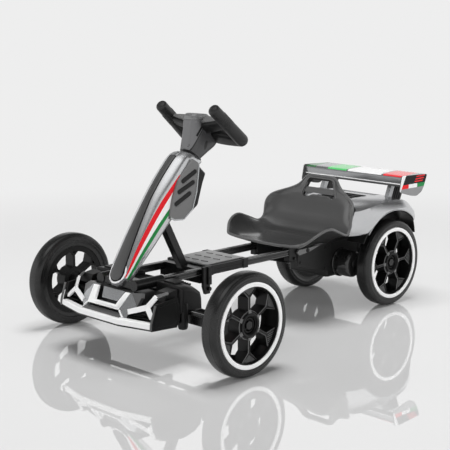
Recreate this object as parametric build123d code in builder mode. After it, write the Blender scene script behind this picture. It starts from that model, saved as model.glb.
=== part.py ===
"""Electric ride-on go-kart for a child, built as separate pieces in millimetres.

+X is the driver's left, -Y is forward, +Z is up. The origin is on the floor, midway along the
kart and midway across it.
"""

import os
from math import cos, hypot, radians, sin, tan

from build123d import *

os.makedirs("parts", exist_ok=True)

# Wheels and where they stand
wheel_radius = 115.0
tyre_width = 44.0
front_track = 608.0
rear_track = 286.0
wheelbase = 713.0
nose_reach = 160.0  # bumper lip ahead of the front axle
tail_reach = 129.0  # wing behind the rear axle
seat_radius = 84.0  # tyre's seat on the rim
bead_radius = 95.0
ring_width = 9.7
ring_depth = 2.7
rim_wall = 4.0
spoke_count = 6
spoke_width = 9.0
spoke_back = -16.0  # spokes and hub, outboard of the wheel's middle
spoke_front = 14.0
hub_recess = 7.0
hub_recess_radius = 19.0
axle_radius = 6.0
running_gap = 0.05  # radial clearance of a shaft in its bore
side_gap = 0.4  # end clearance of a wheel on its axle
mesh_gap = 0.3  # clearance between bodies that slide past each other

# Front axle and steering
kingpin_x = 258.0
kingpin_radius = 5.0
boss_radius = 12.0
beam_drop = 18.0  # beam's middle below the wheel centres
beam_depth = 24.0
beam_height = 20.0
arm_length = 55.0
arm_thickness = 6.0
rod_radius = 6.0
pin_radius = 4.0
relay_radius = 6.0
relay_depth = 30.0  # relay's pin inside the housing
steering_rake = 47.0  # column's slope above the level
column_foot_ahead = 109.7  # column's foot ahead of the front axle
column_foot_height = 181.0
seam_height = 437.0  # ring where the head turns on the column
shaft_radius = 11.0
shaft_length = 170.0

# Frame
rail_spacing = 116.0
rail_width = 16.0
rail_height = 17.0
rail_rise = 58.0  # rail's middle above the wheel centres
rail_front = -17.0  # rail's ends behind the front axle
rail_end = 470.0
socket_radius = 12.5
socket_front = -100.0
housing_width = 304.0
housing_front = -42.0
housing_back = 25.0
housing_bottom = 118.0
housing_top = 175.0
sleeve_front = 118.0
sleeve_back = 252.0
sleeve_wall = 2.5

# Seat, battery box and tail, behind the rear axle where negative is ahead of it
box_front = -160.0
box_back = 35.0
box_bottom = 85.0
box_top = 215.0
shell_thickness = 5.0
body_width = 330.0
body_wall = 4.0
body_front = -172.0
body_back = 117.0
body_low = 207.0
body_high = 285.0
arch_radius = 138.0
arch_gap = 16.0  # arch wall inboard of the wheel
wing_span = 344.0
wing_front = 17.0
wing_height = 337.0
end_plate = 4.0

front_y = nose_reach - (nose_reach + wheelbase + tail_reach) / 2
rear_y = front_y + wheelbase
axle_z = wheel_radius
beam_z = axle_z - beam_drop
rail_z = axle_z + rail_rise
rake_y = cos(radians(steering_rake))
rake_z = sin(radians(steering_rake))
cover_length = (seam_height - column_foot_height) / rake_z
seam_y = front_y - column_foot_ahead + cover_length * rake_y


def side_plane(x):
    """Plane looking along X: local x is +Y, local y is +Z."""
    return Plane(origin=(x, 0, 0), x_dir=(0, 1, 0), z_dir=(1, 0, 0))


def cross_plane(y):
    """Plane across the kart: local x is +X, local y is +Z, and it faces forward."""
    return Plane(origin=(0, y, 0), x_dir=(1, 0, 0), z_dir=(0, -1, 0))


def column_plane(below, x=0.0):
    """Plane square to the column: local x is +X, local y points back and down."""
    origin = (x, seam_y - below * rake_y, seam_height - below * rake_z)
    return Plane(origin=origin, x_dir=(1, 0, 0), z_dir=(0, rake_y, rake_z))


def column_side(x):
    """Plane along the column: local x points back and down, local y points down the column."""
    origin = (x, seam_y, seam_height)
    return Plane(origin=origin, x_dir=(0, rake_z, -rake_y), z_dir=(-1, 0, 0))


def write(piece, name):
    """Labels a finished piece and writes its file."""
    piece.label = name
    export_step(piece, f"parts/{name}.step")


# Wheels: tyre, rim with six forked spokes, and the white ring on its outer face


def wheel_section(x, y, side):
    """Half section through a wheel: local x is the radius, local y points outboard."""
    return Plane(origin=(x, y, axle_z), x_dir=(0, 0, 1), z_dir=(0, side, 0))


def wheel_face(x, y, side, out):
    """Plane across a wheel, at a distance outboard of its middle."""
    return Plane(origin=(x + side * out, y, axle_z), x_dir=(0, 1, 0), z_dir=(side, 0, 0))


def make_tyre(x, y, side):
    half = tyre_width / 2
    flat = half - 2
    outer = [(bead_radius, flat), (bead_radius + 2.5, half), (bead_radius + 9, half - 0.6)]
    outer += [(wheel_radius - 4, half - 4), (wheel_radius, half - 10)]
    profile = [(seat_radius, flat)] + outer
    profile += [(r, -out) for r, out in reversed(profile)]
    with BuildPart() as tyre:
        with BuildSketch(wheel_section(x, y, side)):
            with BuildLine():
                Polyline(*profile, close=True)
            make_face()
        revolve(axis=Axis((x, y, axle_z), (1, 0, 0)))
    return tyre.part


def make_ring(x, y, side):
    inner = bead_radius - 0.5 - ring_width
    with BuildPart() as ring:
        with BuildSketch(wheel_face(x, y, side, tyre_width / 2 - 2)):
            Circle(inner + ring_width)
            Circle(inner, mode=Mode.SUBTRACT)
        extrude(amount=ring_depth)
    return ring.part


def make_rim(x, y, side, phase):
    barrel_inner = seat_radius - rim_wall
    flat = tyre_width / 2 - 2
    slant = tan(radians(180 / spoke_count))
    edge = spoke_width / 2 / cos(radians(180 / spoke_count))
    inner, waist, outer = 37.0, 56.0, 75.0
    pocket = [(inner, inner * slant - edge), (waist, waist * slant - edge), (outer, 13.0)]
    pocket += [(r, -t) for r, t in reversed(pocket)]
    web = [(65.0, 0.0), (barrel_inner - 3, 12.0), (barrel_inner - 3, -12.0)]
    with BuildPart() as rim:
        with BuildSketch(wheel_face(x, y, side, -flat)):
            Circle(seat_radius)
            Circle(barrel_inner, mode=Mode.SUBTRACT)
        extrude(amount=2 * flat)
        with BuildSketch(wheel_face(x, y, side, spoke_back)):
            Circle(barrel_inner)
            with PolarLocations(0, spoke_count, start_angle=phase + 180 / spoke_count):
                Polygon(*pocket, align=None, mode=Mode.SUBTRACT)
        extrude(amount=spoke_front - spoke_back)
        with BuildSketch(wheel_face(x, y, side, spoke_front)):
            with PolarLocations(0, spoke_count, start_angle=phase):
                Polygon(*web, align=None)
            Circle(hub_recess_radius)
        extrude(amount=-hub_recess, mode=Mode.SUBTRACT)
        with BuildSketch(wheel_face(x, y, side, spoke_back)):
            Circle(axle_radius + running_gap)
        extrude(amount=spoke_front - spoke_back, mode=Mode.SUBTRACT)
    return rim.part


wheels = [
    ("front_left", front_track / 2, front_y, 1, 30.0),
    ("front_right", -front_track / 2, front_y, -1, 30.0),
    ("rear_left", rear_track / 2, rear_y, 1, 3.0),
    ("rear_right", -rear_track / 2, rear_y, -1, 3.0),
]
for place, x, y, side, phase in wheels:
    write(make_tyre(x, y, side), f"{place}_tyre")
    write(make_rim(x, y, side, phase), f"{place}_rim")
    write(make_ring(x, y, side), f"{place}_ring")

hub_front = spoke_front - hub_recess
nut_thickness = 6.0
nut_radius = 10.0


# Front axle beam with a boss for each kingpin, and saddles up to the housing
saddle_x = 105.0
saddle_size = 40.0
with BuildPart() as front_axle_beam:
    with BuildSketch(Plane.XY.offset(beam_z - beam_height / 2)):
        with Locations((0, front_y)):
            Rectangle(2 * (kingpin_x - boss_radius / 2), beam_depth)
        with Locations((kingpin_x, front_y), (-kingpin_x, front_y)):
            Circle(boss_radius)
    extrude(amount=beam_height)
    with BuildSketch(Plane.XY.offset(beam_z + beam_height / 2)):
        with Locations((saddle_x, front_y - 4), (-saddle_x, front_y - 4)):
            Rectangle(saddle_size, saddle_size)
    extrude(amount=housing_bottom - beam_z - beam_height / 2)
    with BuildSketch(Plane.XY.offset(beam_z - beam_height / 2)):
        with Locations((kingpin_x, front_y), (-kingpin_x, front_y)):
            Circle(kingpin_radius + running_gap)
        with Locations((0, front_y)):
            Circle(relay_radius + running_gap)
    extrude(amount=beam_height, mode=Mode.SUBTRACT)
write(front_axle_beam.part, "front_axle_beam")


# Knuckles: fork round the boss, kingpin, stub axle with its nut, and a rearward arm with a pin
fork_gap = mesh_gap
fork_plate = 7.0
fork_low = beam_z - beam_height / 2 - fork_gap
fork_high = beam_z + beam_height / 2 + fork_gap
cheek_in = boss_radius + 1.5
cheek_out = cheek_in + 5.0
pin_top = beam_z + rod_radius + 4


def make_knuckle(side):
    x = side * kingpin_x
    centre = side * front_track / 2
    stub_start = x + side * (cheek_out - 2)
    hub_in = centre + side * spoke_back
    nut_at = centre + side * (hub_front + side_gap)
    with BuildPart() as knuckle:
        for z in (fork_low - fork_plate, fork_high):
            with BuildSketch(Plane.XY.offset(z)):
                with Locations((x, front_y)):
                    Circle(boss_radius)
                with Locations((x + side * cheek_out / 2, front_y)):
                    Rectangle(cheek_out, 2 * boss_radius)
            extrude(amount=fork_plate)
        with BuildSketch(Plane.XY.offset(fork_low)):
            with Locations((x + side * (cheek_in + cheek_out) / 2, front_y)):
                Rectangle(cheek_out - cheek_in, 2 * boss_radius)
        extrude(amount=fork_high - fork_low)
        with BuildSketch(Plane.XY.offset(fork_low)):
            with Locations((x, front_y)):
                Circle(kingpin_radius)
        extrude(amount=fork_high - fork_low)
        with BuildSketch(Plane(origin=(stub_start, front_y, axle_z), z_dir=(side, 0, 0))):
            Circle(axle_radius)
        extrude(amount=abs(nut_at - stub_start) + nut_thickness)
        with BuildSketch(Plane(origin=(stub_start, front_y, axle_z), z_dir=(side, 0, 0))):
            Circle(nut_radius)
        extrude(amount=abs(hub_in - stub_start) - side_gap)
        with BuildSketch(Plane(origin=(nut_at, front_y, axle_z), z_dir=(side, 0, 0))):
            RegularPolygon(nut_radius, 6)
        extrude(amount=nut_thickness)
        with BuildSketch(Plane.XY.offset(fork_low - arm_thickness)):
            with Locations((x, front_y + arm_length / 2)):
                Rectangle(2 * rod_radius, arm_length)
            with Locations((x, front_y + arm_length)):
                Circle(rod_radius + 3)
        extrude(amount=arm_thickness)
        with BuildSketch(Plane.XY.offset(fork_low - arm_thickness)):
            with Locations((x, front_y + arm_length)):
                Circle(pin_radius)
        extrude(amount=pin_top - fork_low + arm_thickness)
    return knuckle.part


write(make_knuckle(1), "left_knuckle")
write(make_knuckle(-1), "right_knuckle")


# Relay arm: upright pin through the beam into the housing, and an arm as long as the knuckles' own
with BuildPart() as relay_arm:
    with BuildSketch(Plane.XY.offset(fork_low - arm_thickness)):
        with Locations((0, front_y + arm_length / 2)):
            Rectangle(2 * rod_radius, arm_length)
        with Locations((0, front_y)):
            Circle(boss_radius)
        with Locations((0, front_y + arm_length)):
            Circle(rod_radius + 3)
    extrude(amount=arm_thickness)
    with BuildSketch(Plane.XY.offset(fork_low)):
        with Locations((0, front_y)):
            Circle(relay_radius)
    extrude(amount=housing_bottom + relay_depth - 1 - fork_low)
    with BuildSketch(Plane.XY.offset(fork_low)):
        with Locations((0, front_y + arm_length)):
            Circle(pin_radius)
    extrude(amount=pin_top - fork_low)
write(relay_arm.part, "steering_relay_arm")


# Tie rod behind the beam: a round bar with an eye over each arm's pin
eye_radius = pin_radius + 5
eye_low = fork_low + mesh_gap
eye_height = beam_z + rod_radius + 1 - eye_low
with BuildPart() as tie_rod:
    with BuildSketch(Plane(origin=(-kingpin_x, front_y + arm_length, beam_z), z_dir=(1, 0, 0))):
        Circle(rod_radius)
    extrude(amount=2 * kingpin_x)
    with BuildSketch(Plane.XY.offset(eye_low)):
        with Locations(*[(x, front_y + arm_length) for x in (-kingpin_x, 0, kingpin_x)]):
            Circle(eye_radius)
    extrude(amount=eye_height)
    with BuildSketch(Plane.XY.offset(eye_low)):
        with Locations(*[(x, front_y + arm_length) for x in (-kingpin_x, 0, kingpin_x)]):
            Circle(pin_radius + running_gap)
    extrude(amount=eye_height, mode=Mode.SUBTRACT)
write(tie_rod.part, "tie_rod")


# Rails: two grooved tubes the length of the kart, with round sockets at the front
rail_x = rail_spacing / 2
groove_depth = 1.5
groove_height = 3.0
with BuildPart() as rails:
    with BuildSketch(cross_plane(front_y + rail_front)):
        with Locations((rail_x, rail_z)):
            RectangleRounded(rail_width, rail_height, 2)
            with GridLocations(rail_width - groove_depth, 2 * groove_height, 2, 2):
                Rectangle(groove_depth, groove_height, mode=Mode.SUBTRACT)
    extrude(amount=rail_front - rail_end)
    mirror(about=Plane.YZ)
write(rails.part, "frame_rails")

with BuildPart() as rail_sockets:
    with BuildSketch(cross_plane(front_y + socket_front)):
        with Locations((rail_x, rail_z), (-rail_x, rail_z)):
            Circle(socket_radius)
    extrude(amount=socket_front - rail_front)
    with BuildSketch(Plane.XY.offset(rail_z - rail_height / 2)):
        with Locations((0, front_y + socket_front + 20)):
            Rectangle(2 * rail_x, 36)
    extrude(amount=rail_height - 2)
write(rail_sockets.part, "rail_sockets")


# Front housing: the black body over the axle, cut out for rails and sockets, with two round posts
post_x = 143.0
post_radius = 11.5
post_bottom = 80.0
with BuildPart() as front_housing:
    with BuildSketch(Plane.XY.offset(housing_bottom)):
        with Locations((0, front_y + (housing_front + housing_back) / 2)):
            Rectangle(housing_width, housing_back - housing_front)
    extrude(amount=housing_top - housing_bottom)
    fillet(front_housing.edges().filter_by(Axis.Y).group_by(Axis.Z)[0], 18)
    fillet(front_housing.edges().filter_by(Axis.Z).group_by(Axis.Y)[-1], 18)
    with BuildSketch(cross_plane(front_y + socket_front)):
        with Locations((rail_x, rail_z), (-rail_x, rail_z)):
            Circle(socket_radius)
    extrude(amount=socket_front - rail_front, mode=Mode.SUBTRACT)
    with BuildSketch(cross_plane(front_y + rail_front)):
        with Locations((rail_x, rail_z + 5), (-rail_x, rail_z + 5)):
            Rectangle(rail_width, rail_height + 10)
    extrude(amount=rail_front - housing_back, mode=Mode.SUBTRACT)
    with BuildSketch(Plane.XY.offset(housing_bottom)):
        with Locations((0, front_y)):
            Circle(relay_radius + running_gap)
    extrude(amount=relay_depth, mode=Mode.SUBTRACT)
    with BuildSketch(Plane.XY.offset(post_bottom)):
        post_y = front_y + housing_front + post_radius
        with Locations((post_x, post_y), (-post_x, post_y)):
            Circle(post_radius)
    extrude(amount=housing_bottom + 20 - post_bottom)
write(front_housing.part, "front_housing")


# Bumper: dark body with side plates and a central block, then its pale lip
lip_bottom = 94.0
lip_top = 112.0
floor_thickness = 4.0
bumper_top = 161.0
bumper_half = housing_width / 2 + 4
side_plate = 6.0
corner_ahead = 137.0  # lip's corners ahead of the front axle
nose_half = 68.0  # half width of the lip's straight middle
block_half = 60.0
recess_ahead = 128.0
with BuildPart() as bumper_body:
    with BuildSketch(side_plane(-bumper_half)):
        Polygon(
            (front_y - corner_ahead + 10, lip_bottom),
            (front_y + housing_front, lip_bottom),
            (front_y + housing_front, bumper_top - floor_thickness),
            (front_y - corner_ahead + 25, bumper_top - floor_thickness),
            align=None,
        )
    extrude(amount=side_plate)
    mirror(about=Plane.YZ)
    with BuildSketch(Plane.XY.offset(lip_bottom)):
        half = [
            (bumper_half, front_y + housing_front),
            (bumper_half, front_y - corner_ahead + 3),
            (nose_half, front_y - nose_reach + floor_thickness),
        ]
        Polygon(*half, *[(-x, y) for x, y in reversed(half)], align=None)
    extrude(amount=floor_thickness)
    with BuildSketch(side_plane(-block_half)):
        Polygon(
            (front_y - corner_ahead, lip_bottom + floor_thickness),
            (front_y + housing_front, lip_bottom + floor_thickness),
            (front_y + housing_front, bumper_top - floor_thickness),
            (front_y - recess_ahead + 20, bumper_top - floor_thickness),
            (front_y - corner_ahead, lip_top + 14),
            align=None,
        )
    extrude(amount=2 * block_half)
    with BuildSketch(side_plane(block_half)):
        Polygon(
            (front_y - recess_ahead, lip_top + 6),
            (front_y - corner_ahead / 2, lip_top + 6),
            (front_y - corner_ahead / 2, bumper_top - 11),
            (front_y - recess_ahead + 24, bumper_top - 5),
            align=None,
        )
    extrude(amount=bumper_half - side_plate - block_half)
    mirror(about=Plane.YZ)
write(bumper_body.part, "bumper_body")

with BuildPart() as bumper_trim:
    with BuildSketch(Plane.XY.offset(lip_bottom + floor_thickness)):
        half = [
            (nose_half - 2, front_y - nose_reach + 14),
            (bumper_half, front_y - corner_ahead + 9),
            (bumper_half + 5, front_y - corner_ahead),
            (nose_half, front_y - nose_reach),
        ]
        Polygon(*half, *[(-x, y) for x, y in reversed(half)], align=None)
    extrude(amount=lip_top - lip_bottom - floor_thickness)
write(bumper_trim.part, "bumper_trim")


# Deck: grooved sleeve round the rails with a collar at each end, and the foot plate on top
sleeve_half = rail_x + rail_width / 2 + sleeve_wall
sleeve_low = rail_z - rail_height / 2 - sleeve_wall
sleeve_high = rail_z + rail_height / 2 + sleeve_wall
collar_length = 17.0
collar_proud = 1.0
foot_plate_thickness = 1.5
with BuildPart() as deck_sleeve:
    with BuildSketch(cross_plane(front_y + sleeve_front)):
        with Locations((0, rail_z)):
            Rectangle(2 * sleeve_half, sleeve_high - sleeve_low)
    extrude(amount=sleeve_front - sleeve_back)
    with BuildSketch(
        cross_plane(front_y + sleeve_front), cross_plane(front_y + sleeve_back - collar_length)
    ):
        with Locations((0, rail_z)):
            Rectangle(2 * sleeve_half + 5, sleeve_high - sleeve_low + collar_proud)
    extrude(amount=-collar_length)
    with BuildSketch(cross_plane(front_y + sleeve_front)):
        with Locations((rail_x, rail_z), (-rail_x, rail_z)):
            Rectangle(rail_width, rail_height)
        with Locations((0, rail_z - sleeve_wall)):
            Rectangle(2 * rail_x - rail_width - 2 * sleeve_wall, rail_height + sleeve_wall)
    extrude(amount=sleeve_front - sleeve_back, mode=Mode.SUBTRACT)
write(deck_sleeve.part, "deck_sleeve")

plate_inset = 13.0
with BuildPart() as foot_plate:
    with BuildSketch(Plane.XY.offset(sleeve_high + collar_proud / 2)):
        with Locations((0, front_y + (sleeve_front + sleeve_back) / 2)):
            Rectangle(2 * (sleeve_half - plate_inset), sleeve_back - sleeve_front - 6)
    extrude(amount=foot_plate_thickness)
write(foot_plate.part, "foot_plate")

# Cross member under the rails ahead of the deck, and the brace's foot on it
member_front = 92.0
member_low = rail_z - 25
with BuildPart() as cross_member:
    with BuildSketch(Plane.XY.offset(member_low)):
        with Locations((0, front_y + (member_front + sleeve_front) / 2)):
            Rectangle(2 * sleeve_half, sleeve_front - member_front)
    extrude(amount=rail_z - rail_height / 2 - member_low)
    with BuildSketch(Plane.XY.offset(rail_z - rail_height / 2)):
        with Locations((0, front_y + (member_front + sleeve_front) / 2)):
            Rectangle(2 * rail_x - rail_width, sleeve_front - member_front)
    extrude(amount=rail_height)
write(cross_member.part, "cross_member")

# Pedal bracket hanging outside the left rail
bracket_top = rail_z + 14
bracket_low = rail_z - 51
bracket_front = member_front + 3
bracket_back = sleeve_front - 1
bracket_thickness = 8.0
pad_thickness = 5.0
with BuildPart() as pedal_bracket:
    with BuildSketch(side_plane(sleeve_half)):
        Polygon(
            (front_y + bracket_front, bracket_top),
            (front_y + bracket_back, bracket_top),
            (front_y + bracket_back, bracket_low),
            (front_y + bracket_front + 4, bracket_low),
            (front_y + bracket_front, bracket_low + 18),
            align=None,
        )
    extrude(amount=bracket_thickness)
    with BuildSketch(side_plane(sleeve_half + bracket_thickness)):
        with Locations((front_y + bracket_back - 5, bracket_top - 22)):
            Rectangle(12, 44)
        with Locations((front_y + bracket_back - 5, bracket_low + 12)):
            Rectangle(4, 24)
    extrude(amount=pad_thickness)
write(pedal_bracket.part, "pedal_bracket")

# Column cover: a tapering shell from the seam ring down to the nose, with its dark centre stripe

# distance below the seam, reach ahead of and behind the column, half widths in front and behind
cover_sections = [
    (mesh_gap / 2, 30, 30, 20, 27),
    (12, 38, 34, 27, 36),
    (32, 43, 38, 32, 42),
    (62, 43.5, 40, 34, 44),
    (0.3 * cover_length, 44, 36, 33, 44),
    (0.45 * cover_length, 40, 25, 31, 43),
    (0.675 * cover_length, 26, 22, 31, 40),
    (0.81 * cover_length, 15, 21, 31, 37),
    (0.925 * cover_length, 5.6, 19, 28, 33),
    (cover_length, 0, 16, 22, 26),
]
stripe_thickness = 1.5
stripe_top = 10.0  # half width where the stripe is narrowest
stripe_spread = 23.0
with BuildPart() as column_cover:
    for below, ahead, behind, half_front, half_back in cover_sections:
        depth = ahead + behind
        side_points = [(half_front * 0.7, -ahead), (half_front, -ahead + 0.25 * depth)]
        side_points += [(half_back, behind - 0.12 * depth), (half_back * 0.85, behind)]
        with BuildSketch(column_plane(below)):
            Polygon(*side_points, *[(-x, y) for x, y in reversed(side_points)], align=None)
    loft(ruled=True)
    with BuildSketch(column_plane(0)):
        Circle(shaft_radius + running_gap)
    extrude(amount=-shaft_length - 1, mode=Mode.SUBTRACT)
    add(rail_sockets.part, mode=Mode.SUBTRACT)
write(column_cover.part, "column_cover")

with BuildPart() as column_stripe:
    for below, ahead, behind, half_front, half_back in cover_sections[2:-1]:
        width = stripe_top + max(0, below / cover_length - 0.45) * stripe_spread
        with BuildSketch(column_plane(below)):
            Polygon(
                (width, -ahead),
                (-width, -ahead),
                (-width, -ahead - stripe_thickness),
                (width, -ahead - stripe_thickness),
                align=None,
            )
    loft(ruled=True)
write(column_stripe.part, "column_stripe")

pod_outer = 50.0
pod_inner = 36.0
pod_reach = 37.0  # pod's edges either side of the column's line
with BuildPart() as side_pods:
    with BuildSketch(column_side(pod_outer)):
        Polygon(
            (-pod_reach, 30), (-9, 19), (0, 26), (pod_reach + 7, 110), (pod_reach + 5, 145),
            (5, 166), (-6, 155), (-pod_reach, 86),
            align=None,
        )
    extrude(amount=pod_outer - pod_inner)
    mirror(about=Plane.YZ)
    add(column_cover.part, mode=Mode.SUBTRACT)
write(side_pods.part, "side_pods")

cover_back = 40.0
with BuildPart() as back_cover:
    with BuildSketch(column_side(pod_inner)):
        Polygon(
            (20, 8), (cover_back, 10), (cover_back + 28, 104), (cover_back + 2, 150), (20, 150),
            align=None,
        )
    extrude(amount=2 * pod_inner)
    add(column_cover.part, mode=Mode.SUBTRACT)
write(back_cover.part, "column_back_cover")

# Brace from the back of the cover down to the cross member
brace_width = 20.0
brace_behind = 31.0  # brace's head behind the column's line
brace_down = 183.0  # and below the seam
brace_inset = 20.0
brace_foot_y = front_y + member_front + 14
brace_foot_z = rail_z - rail_height / 2 + 4
brace_run = seam_y - brace_down * rake_y + brace_behind - brace_foot_y
brace_rise = seam_height - brace_down * rake_z - brace_foot_z
with BuildPart() as brace_strut:
    with BuildSketch(
        Plane(
            origin=(0, brace_foot_y, brace_foot_z),
            x_dir=(1, 0, 0),
            z_dir=(0, brace_run, brace_rise),
        )
    ):
        RectangleRounded(brace_width, brace_width, 2)
    extrude(amount=hypot(brace_rise, brace_run) + brace_inset)
    add(column_cover.part, mode=Mode.SUBTRACT)
    add(back_cover.part, mode=Mode.SUBTRACT)
    add(cross_member.part, mode=Mode.SUBTRACT)
write(brace_strut.part.solids().sort_by(SortBy.VOLUME)[-1], "brace_strut")


# Steering head: neck, cap and yoke with two grips, turning on a shaft in the column cover
neck_half = 27.0
neck_base = 27.0
neck_nose = 16.0  # half width at the front
cap_height = 13.0
neck_top = 100.0


def seam_side(x):
    """Side plane through the seam ring: local x is +Y, local y is +Z."""
    return Plane(origin=(x, seam_y, seam_height), x_dir=(0, 1, 0), z_dir=(1, 0, 0))


base_front = (-neck_base * rake_z + mesh_gap * rake_y, neck_base * rake_y + mesh_gap * rake_z)
base_back = (neck_base * rake_z + mesh_gap * rake_y, -neck_base * rake_y + mesh_gap * rake_z)
with BuildPart() as head:
    with BuildSketch(seam_side(-neck_half)):
        Polygon(
            base_front, (-14, 52), (-8, neck_top - 8), (1, neck_top), (29, neck_top),
            (43, neck_top - 9), (69, 54), (65, 33), base_back,
            align=None,
        )
    extrude(amount=2 * neck_half)
    with BuildSketch(Plane.XY.offset(seam_height - neck_base)):
        half = [
            (neck_nose, seam_y - neck_base - 3),
            (neck_half, seam_y + 2),
            (neck_half, seam_y + 55),
            (neck_nose + 2, seam_y + 72),
        ]
        Polygon(*half, *[(-x, y) for x, y in reversed(half)], align=None)
    extrude(amount=neck_top + 2 * neck_base, mode=Mode.INTERSECT)
with BuildPart() as steering_neck:
    add(head.part)
    split(bisect_by=Plane.XY.offset(seam_height + neck_top - cap_height), keep=Keep.BOTTOM)
with BuildPart() as steering_cap:
    add(head.part)
    split(bisect_by=Plane.XY.offset(seam_height + neck_top - cap_height), keep=Keep.TOP)
write(steering_neck.part, "steering_neck")
write(steering_cap.part, "steering_cap")

grip_x = 93.0
grip_radius = 14.0
grip_top = -83.0
grip_length = 110.0
yoke_above = 79.0
spoke_depth = 14.0
yoke_plane = column_plane(-yoke_above)
with BuildPart() as steering_yoke:
    with BuildSketch(yoke_plane.offset(-spoke_depth / 2)):
        Polygon((24, -48), (grip_x, -40), (grip_x, -22), (24, -14), align=None)
        Polygon((24, 2), (grip_x - 10, 8), (grip_x, 20), (24, 22), align=None)
    extrude(amount=spoke_depth)
    grip_start = yoke_plane.from_local_coords(Vector(grip_x, grip_top, 0))
    with BuildSketch(Plane(origin=grip_start, z_dir=yoke_plane.y_dir)):
        Circle(grip_radius)
    extrude(amount=grip_length)
    mirror(about=Plane.YZ)
    add(steering_neck.part, mode=Mode.SUBTRACT)
    add(steering_cap.part, mode=Mode.SUBTRACT)
write(steering_yoke.part, "steering_yoke")

with BuildPart() as steering_shaft:
    with BuildSketch(column_plane(-mesh_gap)):
        Circle(shaft_radius)
    extrude(amount=-shaft_length - mesh_gap)
write(steering_shaft.part, "steering_shaft")


# Seat slide: clamp blocks round the rails, side plates, and the bucket seat
block_front = -308.0
block_length = 40.0
block_low = rail_z - 23
plate_inner = rail_x + rail_width / 2 + 1
plate_thickness = 4.0
plate_front = -279.0
plate_back = box_front + 10
pan_bottom = rail_z + 19
with BuildPart() as clamp_blocks:
    with BuildSketch(cross_plane(rear_y + block_front)):
        with Locations((rail_x, (block_low + pan_bottom) / 2)):
            Rectangle(2 * (plate_inner - rail_x), pan_bottom - block_low)
        with Locations((rail_x, rail_z)):
            Rectangle(rail_width + 2 * mesh_gap, rail_height + 2 * mesh_gap, mode=Mode.SUBTRACT)
    extrude(amount=-block_length)
    mirror(about=Plane.YZ)
write(clamp_blocks.part, "clamp_blocks")

with BuildPart() as seat_side_plates:
    with BuildSketch(side_plane(plate_inner)):
        Polygon(
            (rear_y + plate_front, box_bottom + 48),
            (rear_y + box_front, box_bottom + 18),
            (rear_y + plate_back, box_bottom + 18),
            (rear_y + plate_back, box_bottom + 90),
            (rear_y + box_front - 30, pan_bottom),
            (rear_y + plate_front, pan_bottom),
            align=None,
        )
    extrude(amount=plate_thickness)
    mirror(about=Plane.YZ)
write(seat_side_plates.part, "seat_side_plates")

slot_front = -200.0
slot_height = 118.0
slot_width = 76.0

# along Y and Z of the middle of the shell's underside, tilt of the section, half widths of the
# flat middle and of the edge, and the edge's rise
seat_half = body_width / 2 - 2
seat_sections = [
    (-325, pan_bottom + 5, 0, 74, seat_half - 33, 8),
    (-300, pan_bottom, 0, 80, seat_half - 15, 22),
    (-258, pan_bottom, 0, 84, seat_half, 46),
    (-222, pan_bottom, 0, 86, seat_half - 7, 34),
    (-192, pan_bottom + 4, 20, 86, seat_half - 16, 20),
    (-178, pan_bottom + 17, 42, 84, seat_half - 18, 16),
    (-157, pan_bottom + 43, 52, 80, seat_half - 20, 22),
    (-124, pan_bottom + 88, 54, 72, seat_half - 24, 22),
    (-108, pan_bottom + 112, 54, 55, 95, 12),
    (-95, pan_bottom + 131, 54, 36, 56, 4),
    (-90, pan_bottom + 138, 54, 30, 46, 2),
]
with BuildPart() as seat_shell:
    for along, height, tilt, flat, edge, rise in seat_sections:
        thick = shell_thickness
        outer = [(flat, 0), (flat + 0.8 * (edge - flat), -0.3 * rise), (edge, -rise - thick)]
        inner = [
            (edge - thick, -rise - thick),
            (flat + 0.8 * (edge - flat) - thick, -0.3 * rise - thick),
            (flat - 2, -thick),
        ]
        half = outer + inner
        normal = (0, cos(radians(tilt)), sin(radians(tilt)))
        place = Plane(origin=(0, rear_y + along, height), x_dir=(1, 0, 0), z_dir=normal)
        with BuildSketch(place):
            left = [(-x, y) for x, y in half]
            Polygon(*outer, *inner, *reversed(left[3:]), *reversed(left[:3]), align=None)
    loft(ruled=True)
    with BuildSketch(cross_plane(rear_y + slot_front)):
        with Locations((0, pan_bottom + slot_height)):
            RectangleRounded(slot_width, 16, 5)
    extrude(amount=slot_front, mode=Mode.SUBTRACT)
write(seat_shell.part, "seat_shell")


# Battery box with its two drive motors and the rear axle
motor_ahead = -104.0
motor_z = axle_z + 4
motor_radius = 34.5
motor_end = rear_track / 2 - tyre_width / 2 - 5
flange_radius = 38.0
flange_thickness = 5.0
shoulder_radius = 10.0
with BuildPart() as battery_box:
    with BuildSketch(Plane.XY.offset(box_bottom)):
        with Locations((0, rear_y + (box_front + box_back) / 2)):
            Rectangle(2 * plate_inner, box_back - box_front)
    extrude(amount=box_top - box_bottom)
    with BuildSketch(side_plane(-plate_inner)):
        with Locations((rear_y, axle_z)):
            Circle(shoulder_radius)
    extrude(amount=2 * plate_inner, mode=Mode.SUBTRACT)
write(battery_box.part, "battery_box")

with BuildPart() as drive_motors:
    with BuildSketch(side_plane(plate_inner)):
        with Locations((rear_y + motor_ahead, motor_z)):
            Circle(motor_radius)
    extrude(amount=motor_end - plate_inner)
    with BuildSketch(side_plane(plate_inner)):
        with Locations((rear_y + motor_ahead, motor_z)):
            Circle(flange_radius)
    extrude(amount=flange_thickness)
    mirror(about=Plane.YZ)
write(drive_motors.part, "drive_motors")

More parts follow.
